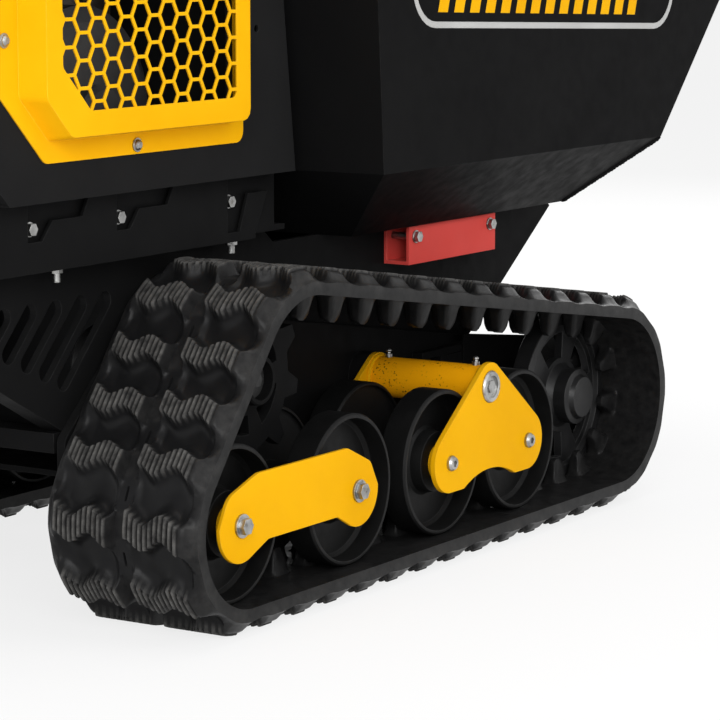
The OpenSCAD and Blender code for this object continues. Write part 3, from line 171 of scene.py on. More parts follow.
def painted(name, colour, deep, dust, edge_highlight_and_wear, roughness, gloss=0.5, overlay=None):
    """Powder coat: orange peel, cloudy tone, painted highlight and wear on edges, upward dust, any extra layer."""
    s = Surface(name, level(gloss))
    edge = s.round_edges(EDGE_R)
    cloud = s.noise(9.0, 4.0)
    tone = s.mix(s.ramp(cloud, 0.35, 0.68), deep, colour)
    grime = s.math("MULTIPLY", s.facing_up(), s.ramp(s.noise(38.0, 6.0, 0.62), 0.42, 0.74, 0.05, 0.55))
    speck = s.ramp(s.spots(260.0), 0.03, 0.075, 0.55, 0.0)
    speck = s.math("MULTIPLY", speck, s.ramp(s.noise(17.0, 3.0), 0.5, 0.66))
    # Lighter edges: a painted highlight along every sharp edge, broken up by noise like wear
    edge_highlight_and_wear_mask = s.math("MULTIPLY", edge, s.ramp(s.noise(70.0, 5.0, 0.6), 0.36, 0.62, 0.15, 0.8))
    tone = s.mix(grime, tone, dust)
    tone = s.mix(edge_highlight_and_wear_mask, tone, edge_highlight_and_wear)
    tone = s.mix(speck, tone, scaled(deep, 0.35))
    # An extra layer given here may paint light: on the bogie's tube it paints light bounced from the yellow
    # plates, and specks of soil
    if overlay:
        tone = overlay(s, tone)
    rough = s.ramp(s.noise(55.0, 5.0), 0.3, 0.7, roughness - 0.07, roughness + 0.09)
    s.bump(s.noise(900.0, 2.0), 0.12, 0.0004)
    return s.finish(Base_Color=tone, Roughness=rough)


def tube_bounce_light_and_soil(s, tone):
    """On the bogie's tube between its two plates: a more orange tone of painted bounce light, and dark specks of
    soil.
    """
    pivot = joint_at["bogie_rock_right"]
    x, y, z = add(s.tree, "ShaderNodeSeparateXYZ", {0: s.place}).outputs
    dx = s.math("SUBTRACT", x, pivot.x)
    dz = s.math("SUBTRACT", z, pivot.z)
    square = s.math("ADD", s.math("MULTIPLY", dx, dx), s.math("MULTIPLY", dz, dz))
    radius = s.math("SQRT", square, 0.0)
    beside = s.math("ABSOLUTE", s.math("SUBTRACT", s.math("ABSOLUTE", y, 0.0), GAUGE_HALF), 0.0)
    on_tube = s.math("LESS_THAN", radius, BOGIE_TUBE_R + 0.001)
    on_tube = s.math("MULTIPLY", on_tube, s.math("LESS_THAN", beside, BOGIE_PLATE_IN))
    # Painted bounce light: the tube is made more orange, as if lit by light bounced from the yellow plates
    tone = s.mix(s.math("MULTIPLY", on_tube, 0.8), tone, (0.98, 0.40, 0.003))
    grains = s.ramp(s.noise(330.0, 3.0), 0.60, 0.66)
    specks = s.math("MULTIPLY", grains, s.ramp(s.noise(34.0, 3.0), 0.46, 0.60))
    return s.mix(s.math("MULTIPLY", on_tube, specks), tone, (0.06, 0.025, 0.006))


def zinc():
    """Bright zinc plate, a little clouded and stained, with a painted highlight on its sharp edges."""
    s = Surface("zinc", {"Metallic": 1.0})
    edge = s.round_edges(EDGE_R / 2)
    tone = s.mix(s.ramp(s.noise(60.0, 5.0), 0.35, 0.7), (0.30, 0.30, 0.295), (0.50, 0.50, 0.49))
    tone = s.mix(s.ramp(s.noise(140.0, 4.0), 0.55, 0.72, 0.0, 0.75), tone, (0.10, 0.085, 0.065))
    # Painted highlight: sharp edges are lightened, as where a rounded edge catches the light
    tone = s.mix(s.math("MULTIPLY", edge, 0.6), tone, (0.62, 0.62, 0.60))
    s.bump(s.noise(1600.0, 2.0), 0.1, 0.0003)
    return s.finish(Base_Color=tone, Roughness=s.ramp(s.noise(220.0, 3.0), 0.3, 0.7, 0.26, 0.5))


def rubber(name, colour, dust, dust_share):
    """Moulded rubber, fine-skinned, smooth in its hollows, with dust and painted shade where the mesh marks them.
    """
    s = Surface(name, level(0.1))
    mark = s.attribute("dust")
    patch = s.ramp(s.noise(90.0, 7.0, 0.65), 0.34, 0.7, 0.15, 1.0)
    overlay = s.math("MULTIPLY", s.math("MULTIPLY", mark, patch), dust_share)
    cloud = s.ramp(s.noise(24.0, 5.0), 0.3, 0.7)
    tone = s.mix(cloud, scaled(colour, 0.85), scaled(colour, 1.12))
    # Painted shade: where the mesh marks the inside of the track loop, the rubber is darkened
    tone = s.mix(s.math("MULTIPLY", s.attribute("inside"), 0.5), tone, scaled(colour, 0.25))
    tone = s.mix(overlay, tone, dust)
    skin = s.ramp(s.noise(60.0, 5.0), 0.3, 0.7, -0.06, 0.1)
    rough = s.math("ADD", s.ramp(mark, 0.1, 0.7, 0.34, 0.62), skin)
    s.bump(s.noise(500.0, 4.0, 0.6), 0.14, 0.0005)
    return s.finish(Base_Color=tone, Roughness=rough)


def plastic(name, colour, roughness, grain):
    """Moulded plastic with a fine grain, faint scuffs, and a painted highlight on its sharp edges."""
    s = Surface(name, level(0.16))
    edge = s.round_edges(EDGE_R)
    cloud = s.ramp(s.noise(18.0, 5.0), 0.3, 0.7)
    tone = s.mix(cloud, scaled(colour, 0.85), scaled(colour, 1.15))
    scuff = s.ramp(s.noise(160.0, 6.0, 0.7, stretch=(1.0, 0.25, 1.0)), 0.62, 0.8, 0.0, 0.3)
    tone = s.mix(scuff, tone, scaled(colour, 2.6))
    # Painted highlight: sharp edges are lightened, as where a rounded edge catches the light
    tone = s.mix(s.math("MULTIPLY", edge, 0.6), tone, scaled(colour, 5.0))
    rough = s.ramp(s.noise(75.0, 4.0), 0.3, 0.7, roughness - 0.05, roughness + 0.08)
    s.bump(s.noise(grain, 3.0), 0.15, 0.0004)
    return s.finish(Base_Color=tone, Roughness=rough)


def cast(name, colour, roughness):
    """Painted cast metal with a sandy skin and oily patches."""
    s = Surface(name, {})
    tone = s.mix(s.ramp(s.noise(30.0, 6.0), 0.3, 0.7), scaled(colour, 0.6), colour)
    rough = s.ramp(s.noise(45.0, 5.0), 0.35, 0.65, roughness - 0.12, roughness + 0.12)
    s.bump(s.noise(420.0, 5.0, 0.65), 0.35, 0.0008)
    return s.finish(Base_Color=tone, Roughness=rough)


def exhaust():
    """Heat-stained steel sheet."""
    s = Surface("exhaust_steel", {"Metallic": 1.0})
    tone = s.mix(s.ramp(s.noise(11.0, 6.0), 0.35, 0.65), (0.34, 0.27, 0.20), (0.50, 0.48, 0.46))
    s.bump(s.noise(300.0, 4.0), 0.15, 0.0004)
    return s.finish(Base_Color=tone, Roughness=s.ramp(s.noise(60.0, 4.0), 0.3, 0.7, 0.38, 0.6))


# Paints: tone, deeper tone in the clouds, dust, edges lightened by painted highlight and wear, then roughness and
# gloss
YELLOW = ((0.88, 0.45, 0.004), (0.82, 0.405, 0.002), (0.62, 0.33, 0.02), (0.93, 0.56, 0.05))

materials = {
    "frame_paint": painted(
        "frame_paint", (0.0090, 0.0090, 0.0092), (0.0074, 0.0074, 0.0076), (0.020, 0.020, 0.020),
        (0.034, 0.034, 0.034), 0.46, 0.015,
    ),
    "cover_paint": painted(
        "cover_paint", (0.0135, 0.0135, 0.0138), (0.0115, 0.0115, 0.0118), (0.024, 0.024, 0.024),
        (0.036, 0.036, 0.036), 0.5, 0.015,
    ),
    "skip_paint": painted(
        "skip_paint", (0.0072, 0.0072, 0.0074), (0.0060, 0.0060, 0.0062), (0.018, 0.018, 0.018),
        (0.030, 0.030, 0.030), 0.44, 0.012,
    ),
    "yellow_paint": painted("yellow_paint", *YELLOW, 0.44, 0.02),
    "bogie_paint": painted("bogie_paint", *YELLOW, 0.44, 0.02, overlay=tube_bounce_light_and_soil),
    "red_paint": painted(
        "red_paint", (0.80, 0.086, 0.072), (0.72, 0.072, 0.060), (0.60, 0.14, 0.11),
        (0.84, 0.17, 0.15), 0.46, 0.04,
    ),
    "track_rubber": rubber("track_rubber", (0.0086, 0.0086, 0.0091), (0.180, 0.175, 0.167), 0.66),
    "wheel_plastic": plastic("wheel_plastic", (0.0042, 0.0042, 0.0042), 0.52, 800.0),
    "zinc_steel": zinc(),
    "cast_alloy": cast("cast_alloy", (0.030, 0.030, 0.031), 0.55),
    "cast_iron": cast("cast_iron", (0.010, 0.010, 0.010), 0.6),
    "exhaust_steel": exhaust(),
    "moulded_plastic": plastic("moulded_plastic", (0.010, 0.010, 0.0105), 0.45, 600.0),
    "grip_rubber": rubber("grip_rubber", (0.012, 0.012, 0.0125), (0.06, 0.06, 0.06), 0.0),
    "skip_trim": painted(
        "skip_trim", (0.50, 0.50, 0.49), (0.42, 0.42, 0.41), (0.40, 0.38, 0.34), (0.55, 0.55, 0.54), 0.4,
    ),
    "idler_paint": painted(
        "idler_paint", (0.011, 0.011, 0.0115), (0.008, 0.008, 0.0083), (0.03, 0.03, 0.03),
        (0.06, 0.06, 0.06), 0.42, 0.3,
    ),
}

slot_of = {p["node"]: p["material_slot"] for p in frame["record"]["subparts"]}
for name, obj in nodes.items():
    obj.data.materials.clear()
    obj.data.materials.append(materials[slot_of[name]])
nodes["skip"].data.materials[0] = materials["skip_paint"]
nodes["hood"].data.materials[0] = materials["cover_paint"]
for side in SIDES:
    nodes[f"idler_{side}"].data.materials[0] = materials["idler_paint"]
    nodes[f"housing_{side}"].data.materials[0] = materials["cover_paint"]
    nodes[f"bogie_{side}"].data.materials[0] = materials["bogie_paint"]


def put(name, verts, faces, slot, body, finish=None, smooth=35):
    """A mesh piece in the shared frame, riding on a body."""
    mesh = bpy.data.meshes.new(name)
    mesh.from_pydata([tuple(v) for v in verts], [], [tuple(f) for f in faces])
    mesh.validate()
    mesh.update()
    mesh.shade_smooth()
    mesh.set_sharp_from_angle(angle=math.radians(smooth))
    mesh.materials.append(materials[finish or slot])
    obj = bpy.data.objects.new(name, mesh)
    bpy.context.scene.collection.objects.link(obj)
    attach(obj, body)
    return obj


# Tracks: the belt's neutral line runs round the first wheel, the idler and the sprocket

TRACK_HALF = 0.090
LINK_PITCH = 0.060
LINK_COUNT = 37
LINK_MM = LINK_PITCH / MM
FIRST_LINK = 0.014
BELT_T = 0.0085
WHEEL_R = 0.080
IDLER_R = 0.098
SEAT_GAP = 0.0003
SPROCKET_TEETH = 10

# Lugs: their height, their zigzag, their two ends, and how far along the belt they stand from the guides
LUG_H = 0.020
LUG_WAVE = 0.009
LUG_INNER = 0.011
LUG_OUTER = 0.076
LUG_SHIFT = 0.0228

# Ribs on the lugs: their corners, as shares of the pitch, rise to the crest and fall to the groove
RIBS = 11
RIB_PITCH = (LUG_OUTER - LUG_INNER) / RIBS
RIB_H = 0.0029
RIB_PLACES = (0.0, 0.14, 0.5, 0.64)
RIBBED_FROM = 0.9

# Centre band with its slits, whose rows are in millimetres, and the columns of points near the belt's edge
LANE_HALF = 0.004
BAND_HALF = 0.008
BAND_FOOT = 0.0095
SLIT_HALF = 0.0009
SLIT_SHOULDER = SLIT_HALF * 1.6
SLIT_ROWS = (21.0, 39.0)
SLIT_DEPTH = 0.004
EDGE_COLUMNS = (0.0775, 0.079, 0.0808, 0.0855, 0.0875)

# Fillets at a lug's outer and inner end: where one starts, how far it runs and how far it spreads
FILLETS = ((0.056, 0.024, 0.0078), (0.023, -0.013, 0.0050))

# Inner face: guide lugs, and pockets for the sprocket's teeth, whose rows and columns are in millimetres
GUIDE_H = 0.028
POCKET_ROWS = (15.0, 45.0)
POCKET_TOP = 0.002
POCKET_HALF = 0.0066
POCKET_COLUMNS = (6.4, 6.9)

# One link along the travel: place in millimetres, share of the lug's height, share of the guide's height
LINK_ROWS = np.array([
    (-26.0, 0.00, 0.00), (-21.5, 0.05, 0.00), (-18.0, 0.13, 0.00), (-15.3, 0.26, 0.06), (-13.2, 0.45, 0.30),
    (-11.6, 0.68, 0.55), (-10.3, 0.93, 0.76), (-9.4, 1.00, 0.88), (-4.0, 1.00, 1.00), (4.0, 1.00, 1.00),
    (9.4, 1.00, 0.88), (10.3, 0.93, 0.76), (11.6, 0.68, 0.55), (13.2, 0.45, 0.30), (15.3, 0.26, 0.06),
    (18.0, 0.13, 0.00), (21.5, 0.05, 0.00), (26.0, 0.00, 0.00), (30.0, 0.00, 0.00),
])

# Across the inner face: place in millimetres, share of the guide's height
GUIDE_COLUMNS = [
    (0, 0.0), (10.5, 0.0), (12, 0.10), (13.4, 0.45), (15, 0.80), (17.5, 1.0), (24.5, 1.0),
    (27, 0.80), (28.6, 0.45), (30, 0.10), (31.5, 0.0), (33, 0.0), (90, 0.0)
]

# Along the travel: distance from the lug's middle in millimetres, share of the fillet's spread
FOOT_SHARE = np.array([(0.0, 0.0), (9.0, 0.1), (12.4, 0.8), (18.5, 1.0), (22.0, 0.85), (30.0, 0.0)])

# Across the outer face: place, share of the lug's height
LUG_ENDS = np.array([
    (0.0, 0.30), (0.008, 0.32), (0.011, 1.0), (0.076, 1.0), (0.079, 0.90), (0.0855, 0.45), (0.09, 0.30),
])

# Across the outer face: place, and how many millimetres the belt rises beside the hollows
VALLEY = np.array([
    (0.0, 3.6), (0.008, 3.6), (0.0095, 3.0), (0.016, 0.0), (0.068, 0.0), (0.0775, 2.4), (0.0808, 4.6),
    (0.0875, 4.6), (0.09, 3.6),
])


class TrackLoop:
    """The belt's neutral line in X and Z, as circles joined by their outer tangents."""

    def __init__(self, side):
        wheel = joint_at[f"wheels_1_spin_{side}"]
        idler = joint_at[f"idler_spin_{side}"]
        sprocket = joint_at[f"sprocket_spin_{side}"]
        seat = SEAT_GAP + BELT_T / 2
        self.circles = [
            (wheel.x, wheel.z, WHEEL_R + seat),
            (idler.x, idler.z, IDLER_R + seat),
            (sprocket.x, sprocket.z, LINK_PITCH * SPROCKET_TEETH / (2 * math.pi)),
        ]
        self.normals, self.parts = [], []
        for i in range(3):
            a, b = self.circles[i], self.circles[(i + 1) % 3]
            way = math.atan2(b[1] - a[1], b[0] - a[0])
            apart = math.hypot(b[0] - a[0], b[1] - a[1])
            self.normals.append(way - math.acos((a[2] - b[2]) / apart))
            self.parts.append(("run", i, math.sqrt(apart**2 - (a[2] - b[2]) ** 2)))
            self.parts.append(("turn", i, None))
        for k, (kind, i, length) in enumerate(self.parts):
            if kind == "turn":
                sweep = (self.normals[(i + 1) % 3] - self.normals[i]) % (2 * math.pi)
                self.parts[k] = (kind, i, self.circles[(i + 1) % 3][2] * sweep)
        self.length = sum(p[2] for p in self.parts)

    def points(self, s, h):
        """X and Z at s along the loop, h outside the neutral line."""
        s, h = np.broadcast_arrays(np.mod(s, self.length), h)
        x, z = np.zeros(s.shape), np.zeros(s.shape)
        start = 0.0
        for kind, i, length in self.parts:
            here = (s >= start) & (s < start + length)
            along = s[here] - start
            if kind == "run":
                cx, cz, r = self.circles[i]
                n = self.normals[i]
                x[here] = cx + (r + h[here]) * math.cos(n) - along * math.sin(n)
                z[here] = cz + (r + h[here]) * math.sin(n) + along * math.cos(n)
            else:
                cx, cz, r = self.circles[(i + 1) % 3]
                n = self.normals[i] + along / r
                x[here] = cx + (r + h[here]) * np.cos(n)
                z[here] = cz + (r + h[here]) * np.sin(n)
            start += length
        return x, z


def lug_columns():
    """Places across the outer face, rib by rib."""
    half = [0.0, SLIT_HALF, SLIT_SHOULDER, LANE_HALF, BAND_HALF, BAND_FOOT]
    for i in range(RIBS):
        start = LUG_INNER + i * RIB_PITCH
        half += [start + place * RIB_PITCH for place in RIB_PLACES]
    half += [LUG_OUTER, *EDGE_COLUMNS, TRACK_HALF]
    return np.array(sorted({round(side * y, 6) for y in half for side in (-1, 1)}))


def rib_height(across):
    """1 on a rib's crest, 0 in the groove beside it."""
    t = np.mod(across - LUG_INNER, RIB_PITCH) / RIB_PITCH
    crest = np.interp(t, [*RIB_PLACES, 1.0], [0.0, 1.0, 1.0, 0.0, 0.0])
    return np.where((across > LUG_INNER) & (across < LUG_OUTER - RIB_PITCH / 3), crest, 0.0)


def swing(y):
    """How far the rounded zigzag moves a lug along the travel, across the track."""
    third = (LUG_OUTER - LUG_INNER) / 3
    turn = np.clip((np.abs(y) - LUG_INNER) / third, 0.0, 3.0) * math.pi
    wave = 0.5 - 0.5 * np.cos(turn)
    return LUG_WAVE * np.where(y > 0, wave, 1.0 - wave)


def fillet(across):
    """How far a lug's foot spreads along the travel where it runs out into the edge and the centre band."""
    spread = 0.0
    for start, run, reach in FILLETS:
        share = np.clip((across - start) / run, 0.0, 1.0)
        spread = spread + reach * (1 - np.sqrt(1 - share**2))
    return spread


def rows_between(rows, limits):
    """Marks the rows of a link that lie between two places behind its lug."""
    behind = np.mod(rows, LINK_MM)[:, None]
    return (behind >= limits[0]) & (behind <= limits[1])


def outer_face(loop, s, rows, lug):
    """Lugs, hollows and centre band: X, Z and the place across the track, and the dust."""
    y = lug_columns()
    across = np.abs(y)
    ribs = rib_height(across)
    top = np.interp(across, *LUG_ENDS.T) * (LUG_H - RIB_H)
    valley = np.interp(across, *VALLEY.T) * MM
    height = BELT_T / 2 + valley + lug * (top - valley) + np.where(lug >= RIBBED_FROM, ribs * RIB_H, 0.0)
    height = height - SLIT_DEPTH * (rows_between(rows, SLIT_ROWS) & (across <= SLIT_HALF))

    from_lug = np.mod(rows + LINK_MM / 2, LINK_MM) - LINK_MM / 2
    foot = np.sign(from_lug) * np.interp(np.abs(from_lug), *FOOT_SHARE.T)
    along = s + LUG_SHIFT + foot[:, None] * fillet(across)
    along = along + swing(y) * np.interp(across, [LANE_HALF, LUG_INNER], [0.0, 1.0])
    along = along + LUG_WAVE / 2 * np.interp(across, [LANE_HALF, LUG_INNER], [1.0, 0.0])

    crest = np.clip(lug - 0.6, 0.0, 0.4) / 0.4
    edge = np.clip((across - 0.078) / 0.012, 0, 1)
    dust = 0.02 + crest * (0.10 + 0.90 * ribs) + 0.10 * edge
    return (*loop.points(along, height), np.broadcast_to(y, height.shape)), dust


def inner_face(loop, s, rows, guide_row):
    """Guide lugs and pockets: X, Z and the place across the track, the dust and the shade."""
    places, shares = zip(*GUIDE_COLUMNS)
    columns = {sign * place for sign in (-1, 1) for place in (*places, *POCKET_COLUMNS)}
    y = np.array(sorted(columns, reverse=True)) * MM
    guide = guide_row * np.interp(np.abs(y), np.array(places) * MM, shares)
    depth = -BELT_T / 2 - guide * GUIDE_H
    depth = np.where(rows_between(rows, POCKET_ROWS) & (np.abs(y) < POCKET_HALF), POCKET_TOP, depth)
    along = np.broadcast_to(s + LUG_WAVE / 2, depth.shape)
    face = (*loop.points(along, depth), np.broadcast_to(y, depth.shape))
    # The last value is painted shade for the inner face, less on the guide lugs
    return face, 0.1 - 0.05 * guide, 1.0 - 0.4 * guide


def track_grid(side):
    """Outer and inner faces of the belt as one closed grid: points, and the marks for dust and shade."""
    loop = TrackLoop(side)
    rows, lug, guide_row = (np.tile(column, LINK_COUNT) for column in LINK_ROWS.T)
    links = FIRST_LINK + np.repeat(np.arange(LINK_COUNT) * LINK_PITCH, len(LINK_ROWS))
    s = (links + rows * MM)[:, None]
    outer, outer_dust = outer_face(loop, s, rows, lug[:, None])
    inner, inner_dust, inner_shade = inner_face(loop, s, rows, guide_row[:, None])
    x, z, y = (np.concatenate(pair, axis=1) for pair in zip(outer, inner))
    points = np.stack([x, SIDES[side] * (GAUGE_HALF + y), z], axis=2)
    dust = np.concatenate([outer_dust, inner_dust], axis=1)
    shade = np.concatenate([np.zeros(outer_dust.shape), inner_shade], axis=1)
    return points, {"dust": dust, "inside": shade}


def track(side):
    """A rubber track, in place of the solid one."""
    points, marks = track_grid(side)
    total, width = points.shape[:2]
    grid = np.arange(total * width).reshape(total, width)
    ahead = np.roll(grid, -1, axis=0)
    beside = np.roll(grid, -1, axis=1)
    corner = np.roll(ahead, -1, axis=1)
    order = (grid, ahead, corner, beside) if side == "right" else (grid, beside, corner, ahead)
    faces = np.stack(order, axis=2).reshape(-1, 4).tolist()
    obj = put(f"rubber_track_{side}", points.reshape(-1, 3), faces, "track_rubber", "chassis", smooth=50)
    for name, values in marks.items():
        layer = obj.data.attributes.new(name, "FLOAT", "POINT")
        layer.data.foreach_set("value", np.clip(values, 0, 1).astype(np.float32).ravel())
    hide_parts(f"track_{side}")


for side in SIDES:
    track(side)


# Small fittings on the bogies: radius and height of a grease nipple's profile, and sizes of the welds

NIPPLE = [(4.3, 0), (4.3, 4), (2.5, 4.6), (2.3, 6.2), (3.2, 7.2), (3.2, 8.6), (2.2, 9.8), (1.0, 10.2)]
NIPPLE_IN = 0.013
NIPPLE_SUNK = 0.0005
WELD_IN = 0.001
BOGIE_WELD_R = 0.0028
SKIP_WELD_R = 0.0032
WELD_RIPPLE = 0.0042
RIPPLE_STEPS = 5


def turned(profile, at, axis, steps=24):
    """A closed turned shape along an axis, from radius and height in millimetres."""
    turn = Vector((0, 0, 1)).rotation_difference(Vector(axis)).to_matrix()
    verts, faces = [], []
    for r, h in profile:
        for k in range(steps):
            a = 2 * math.pi * k / steps
            verts.append(Vector(at) + turn @ Vector((r * math.cos(a), r * math.sin(a), h)) * MM)
    for ring in range(len(profile) - 1):
        for k in range(steps):
            a, b = ring * steps + k, ring * steps + (k + 1) % steps
            faces.append((a, b, b + steps, a + steps))
    faces.append(tuple(range(steps))[::-1])
    faces.append(tuple(range((len(profile) - 1) * steps, len(profile) * steps)))
    return verts, faces


def weld_line(points):
    """Even steps along a line of points, several to each ripple."""
    line = []
    left = 0.0
    for a, b in zip(points, points[1:]):
        length = (b - a).length
        while left < length:
            line.append(a.lerp(b, left / length))
            left += WELD_RIPPLE / RIPPLE_STEPS
        left -= length
    return line


def weld_bead(points, radius, closed=False, steps=10):
    """A rippled bead along a line of points, thinner at its two ends."""
    points = [Vector(q) for q in points]
    line = weld_line([*points, points[0]] if closed else points)
    rings = len(line)
    verts, faces = [], []
    for i, q in enumerate(line):
        ahead, back = (i + 1) % rings, i - 1
        if not closed:
            ahead, back = min(i + 1, rings - 1), max(i - 1, 0)
        way = (line[ahead] - line[back]).normalized()
        across = way.orthogonal().normalized() if i == 0 else (across - way * across.dot(way)).normalized()
        up = way.cross(across)
        ripple = 0.84 + 0.16 * abs(math.sin(math.pi * i / RIPPLE_STEPS)) + 0.06 * math.sin(0.37 * i)
        fade = 1.0 if closed else min(1.0, 0.35 + 0.12 * min(i, rings - 1 - i))
        for k in range(steps):
            a = 2 * math.pi * k / steps
            verts.append(q + (across * math.cos(a) + up * math.sin(a)) * radius * ripple * fade)
    for i in range(rings if closed else rings - 1):
        here, after = i * steps, ((i + 1) % rings) * steps
        for k in range(steps):
            j = (k + 1) % steps
            faces.append((here + k, here + j, after + j, after + k))
    if not closed:
        faces.append(tuple(range(steps))[::-1])
        faces.append(tuple(range((rings - 1) * steps, rings * steps)))
    return verts, faces


def circle_points(at, radius, count=48):
    """A circle about the axis across the machine."""
    return [
        Vector(at) + Vector((math.cos(a), 0, math.sin(a))) * radius
        for a in (2 * math.pi * k / count for k in range(count))
    ]


def bogie_fittings(side, sign):
    """Two grease nipples on the bogie's tube, and the weld where each plate meets it."""
    pivot = joint_at[f"bogie_rock_{side}"]
    body = f"bogie_{side}"
    for end, reach in (("outer", 1), ("inner", -1)):
        y = sign * (GAUGE_HALF + reach * (BOGIE_PLATE_IN - NIPPLE_IN))
        at = Vector((pivot.x, y, pivot.z + BOGIE_TUBE_R - NIPPLE_SUNK))
        put(f"grease_nipple_{end}_{side}", *turned(NIPPLE, at, (0, 0, 1)), "zinc_steel", body)
        seam = (pivot.x, sign * (GAUGE_HALF + reach * (BOGIE_PLATE_IN - WELD_IN)), pivot.z)
        bead = weld_bead(circle_points(seam, BOGIE_TUBE_R), BOGIE_WELD_R, closed=True)
        put(f"bogie_weld_{end}_{side}", *bead, "yellow_paint", body)


for side, sign in SIDES.items():
    bogie_fittings(side, sign)


# Tie plates between the first two axles: angles of the round ends, then corners with a radius.
# A corner is given by its axle, its place beside that axle, and its radius

TIE_T = 0.004
TIE_END_R = 0.0375
TIE_ENDS = ((178, 292), (248, 362))
TIE_BELOW = ((0, 0.047, -0.021, 0.016), (1, -0.040, -0.021, 0.012))
TIE_ABOVE = (
    (1, 0.023, 0.028, 0.014), (1, -0.021, 0.048, 0.012),
    (0, 0.030, 0.048, 0.020), (0, -0.022, 0.031, 0.026),
)
SPACER_R = 0.019
AXLE_HOLE_R = 0.01005


def arc_points(at, radius, start, end, steps=20):
    """Points of an arc in X and Z, by its angles in degrees."""
    angles = [math.radians(start + (end - start) * k / steps) for k in range(steps + 1)]
    return [(at[0] + radius * math.cos(a), at[1] + radius * math.sin(a)) for a in angles]


def ring_points(at, radius, count=32):
    """Points of a whole circle in X and Z."""
    return arc_points(at, radius, 0, 360 * (count - 1) / count, count - 1)


def rounded_corner(before, at, after, radius, steps=8):
    """Points of the arc that touches both sides of a corner."""
    at = Vector(at)
    back = (Vector(before) - at).normalized()
    ahead = (Vector(after) - at).normalized()
    half = back.angle(ahead) / 2
    centre = at + (back + ahead).normalized() * radius / math.sin(half)
    start = at + back * radius / math.tan(half) - centre
    end = at + ahead * radius / math.tan(half) - centre
    sweep = start.angle_signed(end)
    points = []
    for k in range(steps + 1):
        a = sweep * k / steps
        x = centre.x + start.x * math.cos(a) + start.y * math.sin(a)
        z = centre.y - start.x * math.sin(a) + start.y * math.cos(a)
        points.append((x, z))
    return points


def rounded_line(start, corners, end):
    """The rounded corners on the way between two points, from each corner's place and radius."""
    spots = [start, *[spot for spot, _ in corners], end]
    points = []
    for (spot, radius), before, after in zip(corners, spots, spots[2:]):
        points += rounded_corner(before, spot, after, radius)
    return points


def flat_plate(loops, y_in, y_out):
    """A plate across Y, from its outline and its holes in X and Z."""
    tris = tessellate_polygon([[Vector((x, z, 0)) for x, z in loop] for loop in loops])
    flat = [p for loop in loops for p in loop]
    n = len(flat)
    verts = [(x, y, z) for y in (y_in, y_out) for x, z in flat]
    faces = [tuple(t) for t in tris] + [tuple(n + i for i in t)[::-1] for t in tris]
    first = 0
    for loop in loops:
        for k in range(len(loop)):
            a, b = first + k, first + (k + 1) % len(loop)
            faces.append((a, b, n + b, n + a))
        first += len(loop)
    return verts, faces


def turn_out(obj):
    """Turns every face of a closed mesh outwards."""
    mesh = bmesh.new()
    mesh.from_mesh(obj.data)
    bmesh.ops.recalc_face_normals(mesh, faces=mesh.faces)
    mesh.to_mesh(obj.data)
    mesh.free()


def tie_outline(axles):
    """The tie plate's outline round its two axles."""
    left, right = (arc_points(axle, TIE_END_R, *ends) for axle, ends in zip(axles, TIE_ENDS))
    below, above = (
        [((axles[i][0] + dx, axles[i][1] + dz), radius) for i, dx, dz, radius in corners]
        for corners in (TIE_BELOW, TIE_ABOVE)
    )
    return left + rounded_line(left[-1], below, right[0]) + right + rounded_line(right[-1], above, left[0])


def tie_plate(side, sign):
    """A thin tie plate with a spacer behind it on each axle, in place of the solid one."""
    low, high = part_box(f"tie_plate_{side}")
    spacer_in, plate_out = sorted((abs(low[1]), abs(high[1])))
    plate_in = plate_out - TIE_T
    centres = [joint_at[f"wheels_{i}_spin_{side}"] for i in (1, 2)]
    axles = [(c.x, c.z) for c in centres]
    holes = [ring_points(axle, AXLE_HOLE_R) for axle in axles]
    verts, faces = flat_plate([tie_outline(axles), *holes], sign * plate_in, sign * plate_out)
    for axle, hole in zip(axles, holes):
        spacer = [ring_points(axle, SPACER_R), hole]
        more, more_faces = flat_plate(spacer, sign * spacer_in, sign * plate_in)
        faces += [tuple(i + len(verts) for i in f) for f in more_faces]
        verts += more
    obj = put(f"tie_bar_{side}", verts, faces, "yellow_paint", "chassis")
    turn_out(obj)
    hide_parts(f"tie_plate_{side}")


# Guard plates on the idler slides: they fall towards the front, like the roof of the track frame

GUARD_IN = 0.0799
GUARD_OUT = 0.0774
GUARD_BACK = 0.690
GUARD_FRONT = 0.853
GUARD_FOOT = 0.150
GUARD_TOP = 0.1845
GUARD_SLOPE = 0.13
GUARD_CORNER_R = 0.003


def slide_guard(side, sign):
    """The guard plate on one idler slide."""
    back = AXLE_X + GUARD_BACK
    front = AXLE_X + GUARD_FRONT
    high = GUARD_TOP + GUARD_SLOPE * (front - back)
    spots = [(back, GUARD_FOOT), (front, GUARD_FOOT), (front, GUARD_TOP), (back, high)]
    outline = rounded_line(spots[-1], [(spot, GUARD_CORNER_R) for spot in spots], spots[0])
    plate = flat_plate([outline], sign * (GAUGE_HALF - GUARD_IN), sign * (GAUGE_HALF - GUARD_OUT))
    obj = put(f"slide_guard_{side}", *plate, "frame_paint", f"idler_slide_{side}")
    turn_out(obj)


for side, sign in SIDES.items():
    tie_plate(side, sign)
    slide_guard(side, sign)


# Skip: side plane, weld seams and trim

SKIP_HALF = 0.320
SKIP_FLOOR_HALF = 0.220
SKIP_FLOOR_Z = 0.348
SKIP_CREASE_Z = 0.428
SKIP_FLOOR_FRONT = 0.897
SKIP_FRONT_SLOPE = math.radians(48)
SKIP_FLARE = math.radians(2)
TRIM_T = 0.0004
TRIM_W = 0.007
TRIM_FALL = 0.034
TRIM_BOX = (0.366, 0.581, 0.985, 0.706)
BORDER_R = 0.05
BAR_START = 0.055
BAR_STEP = 0.034
BAR_W = 0.020
BAR_LEAN = 0.022
BAR_IN = 0.017


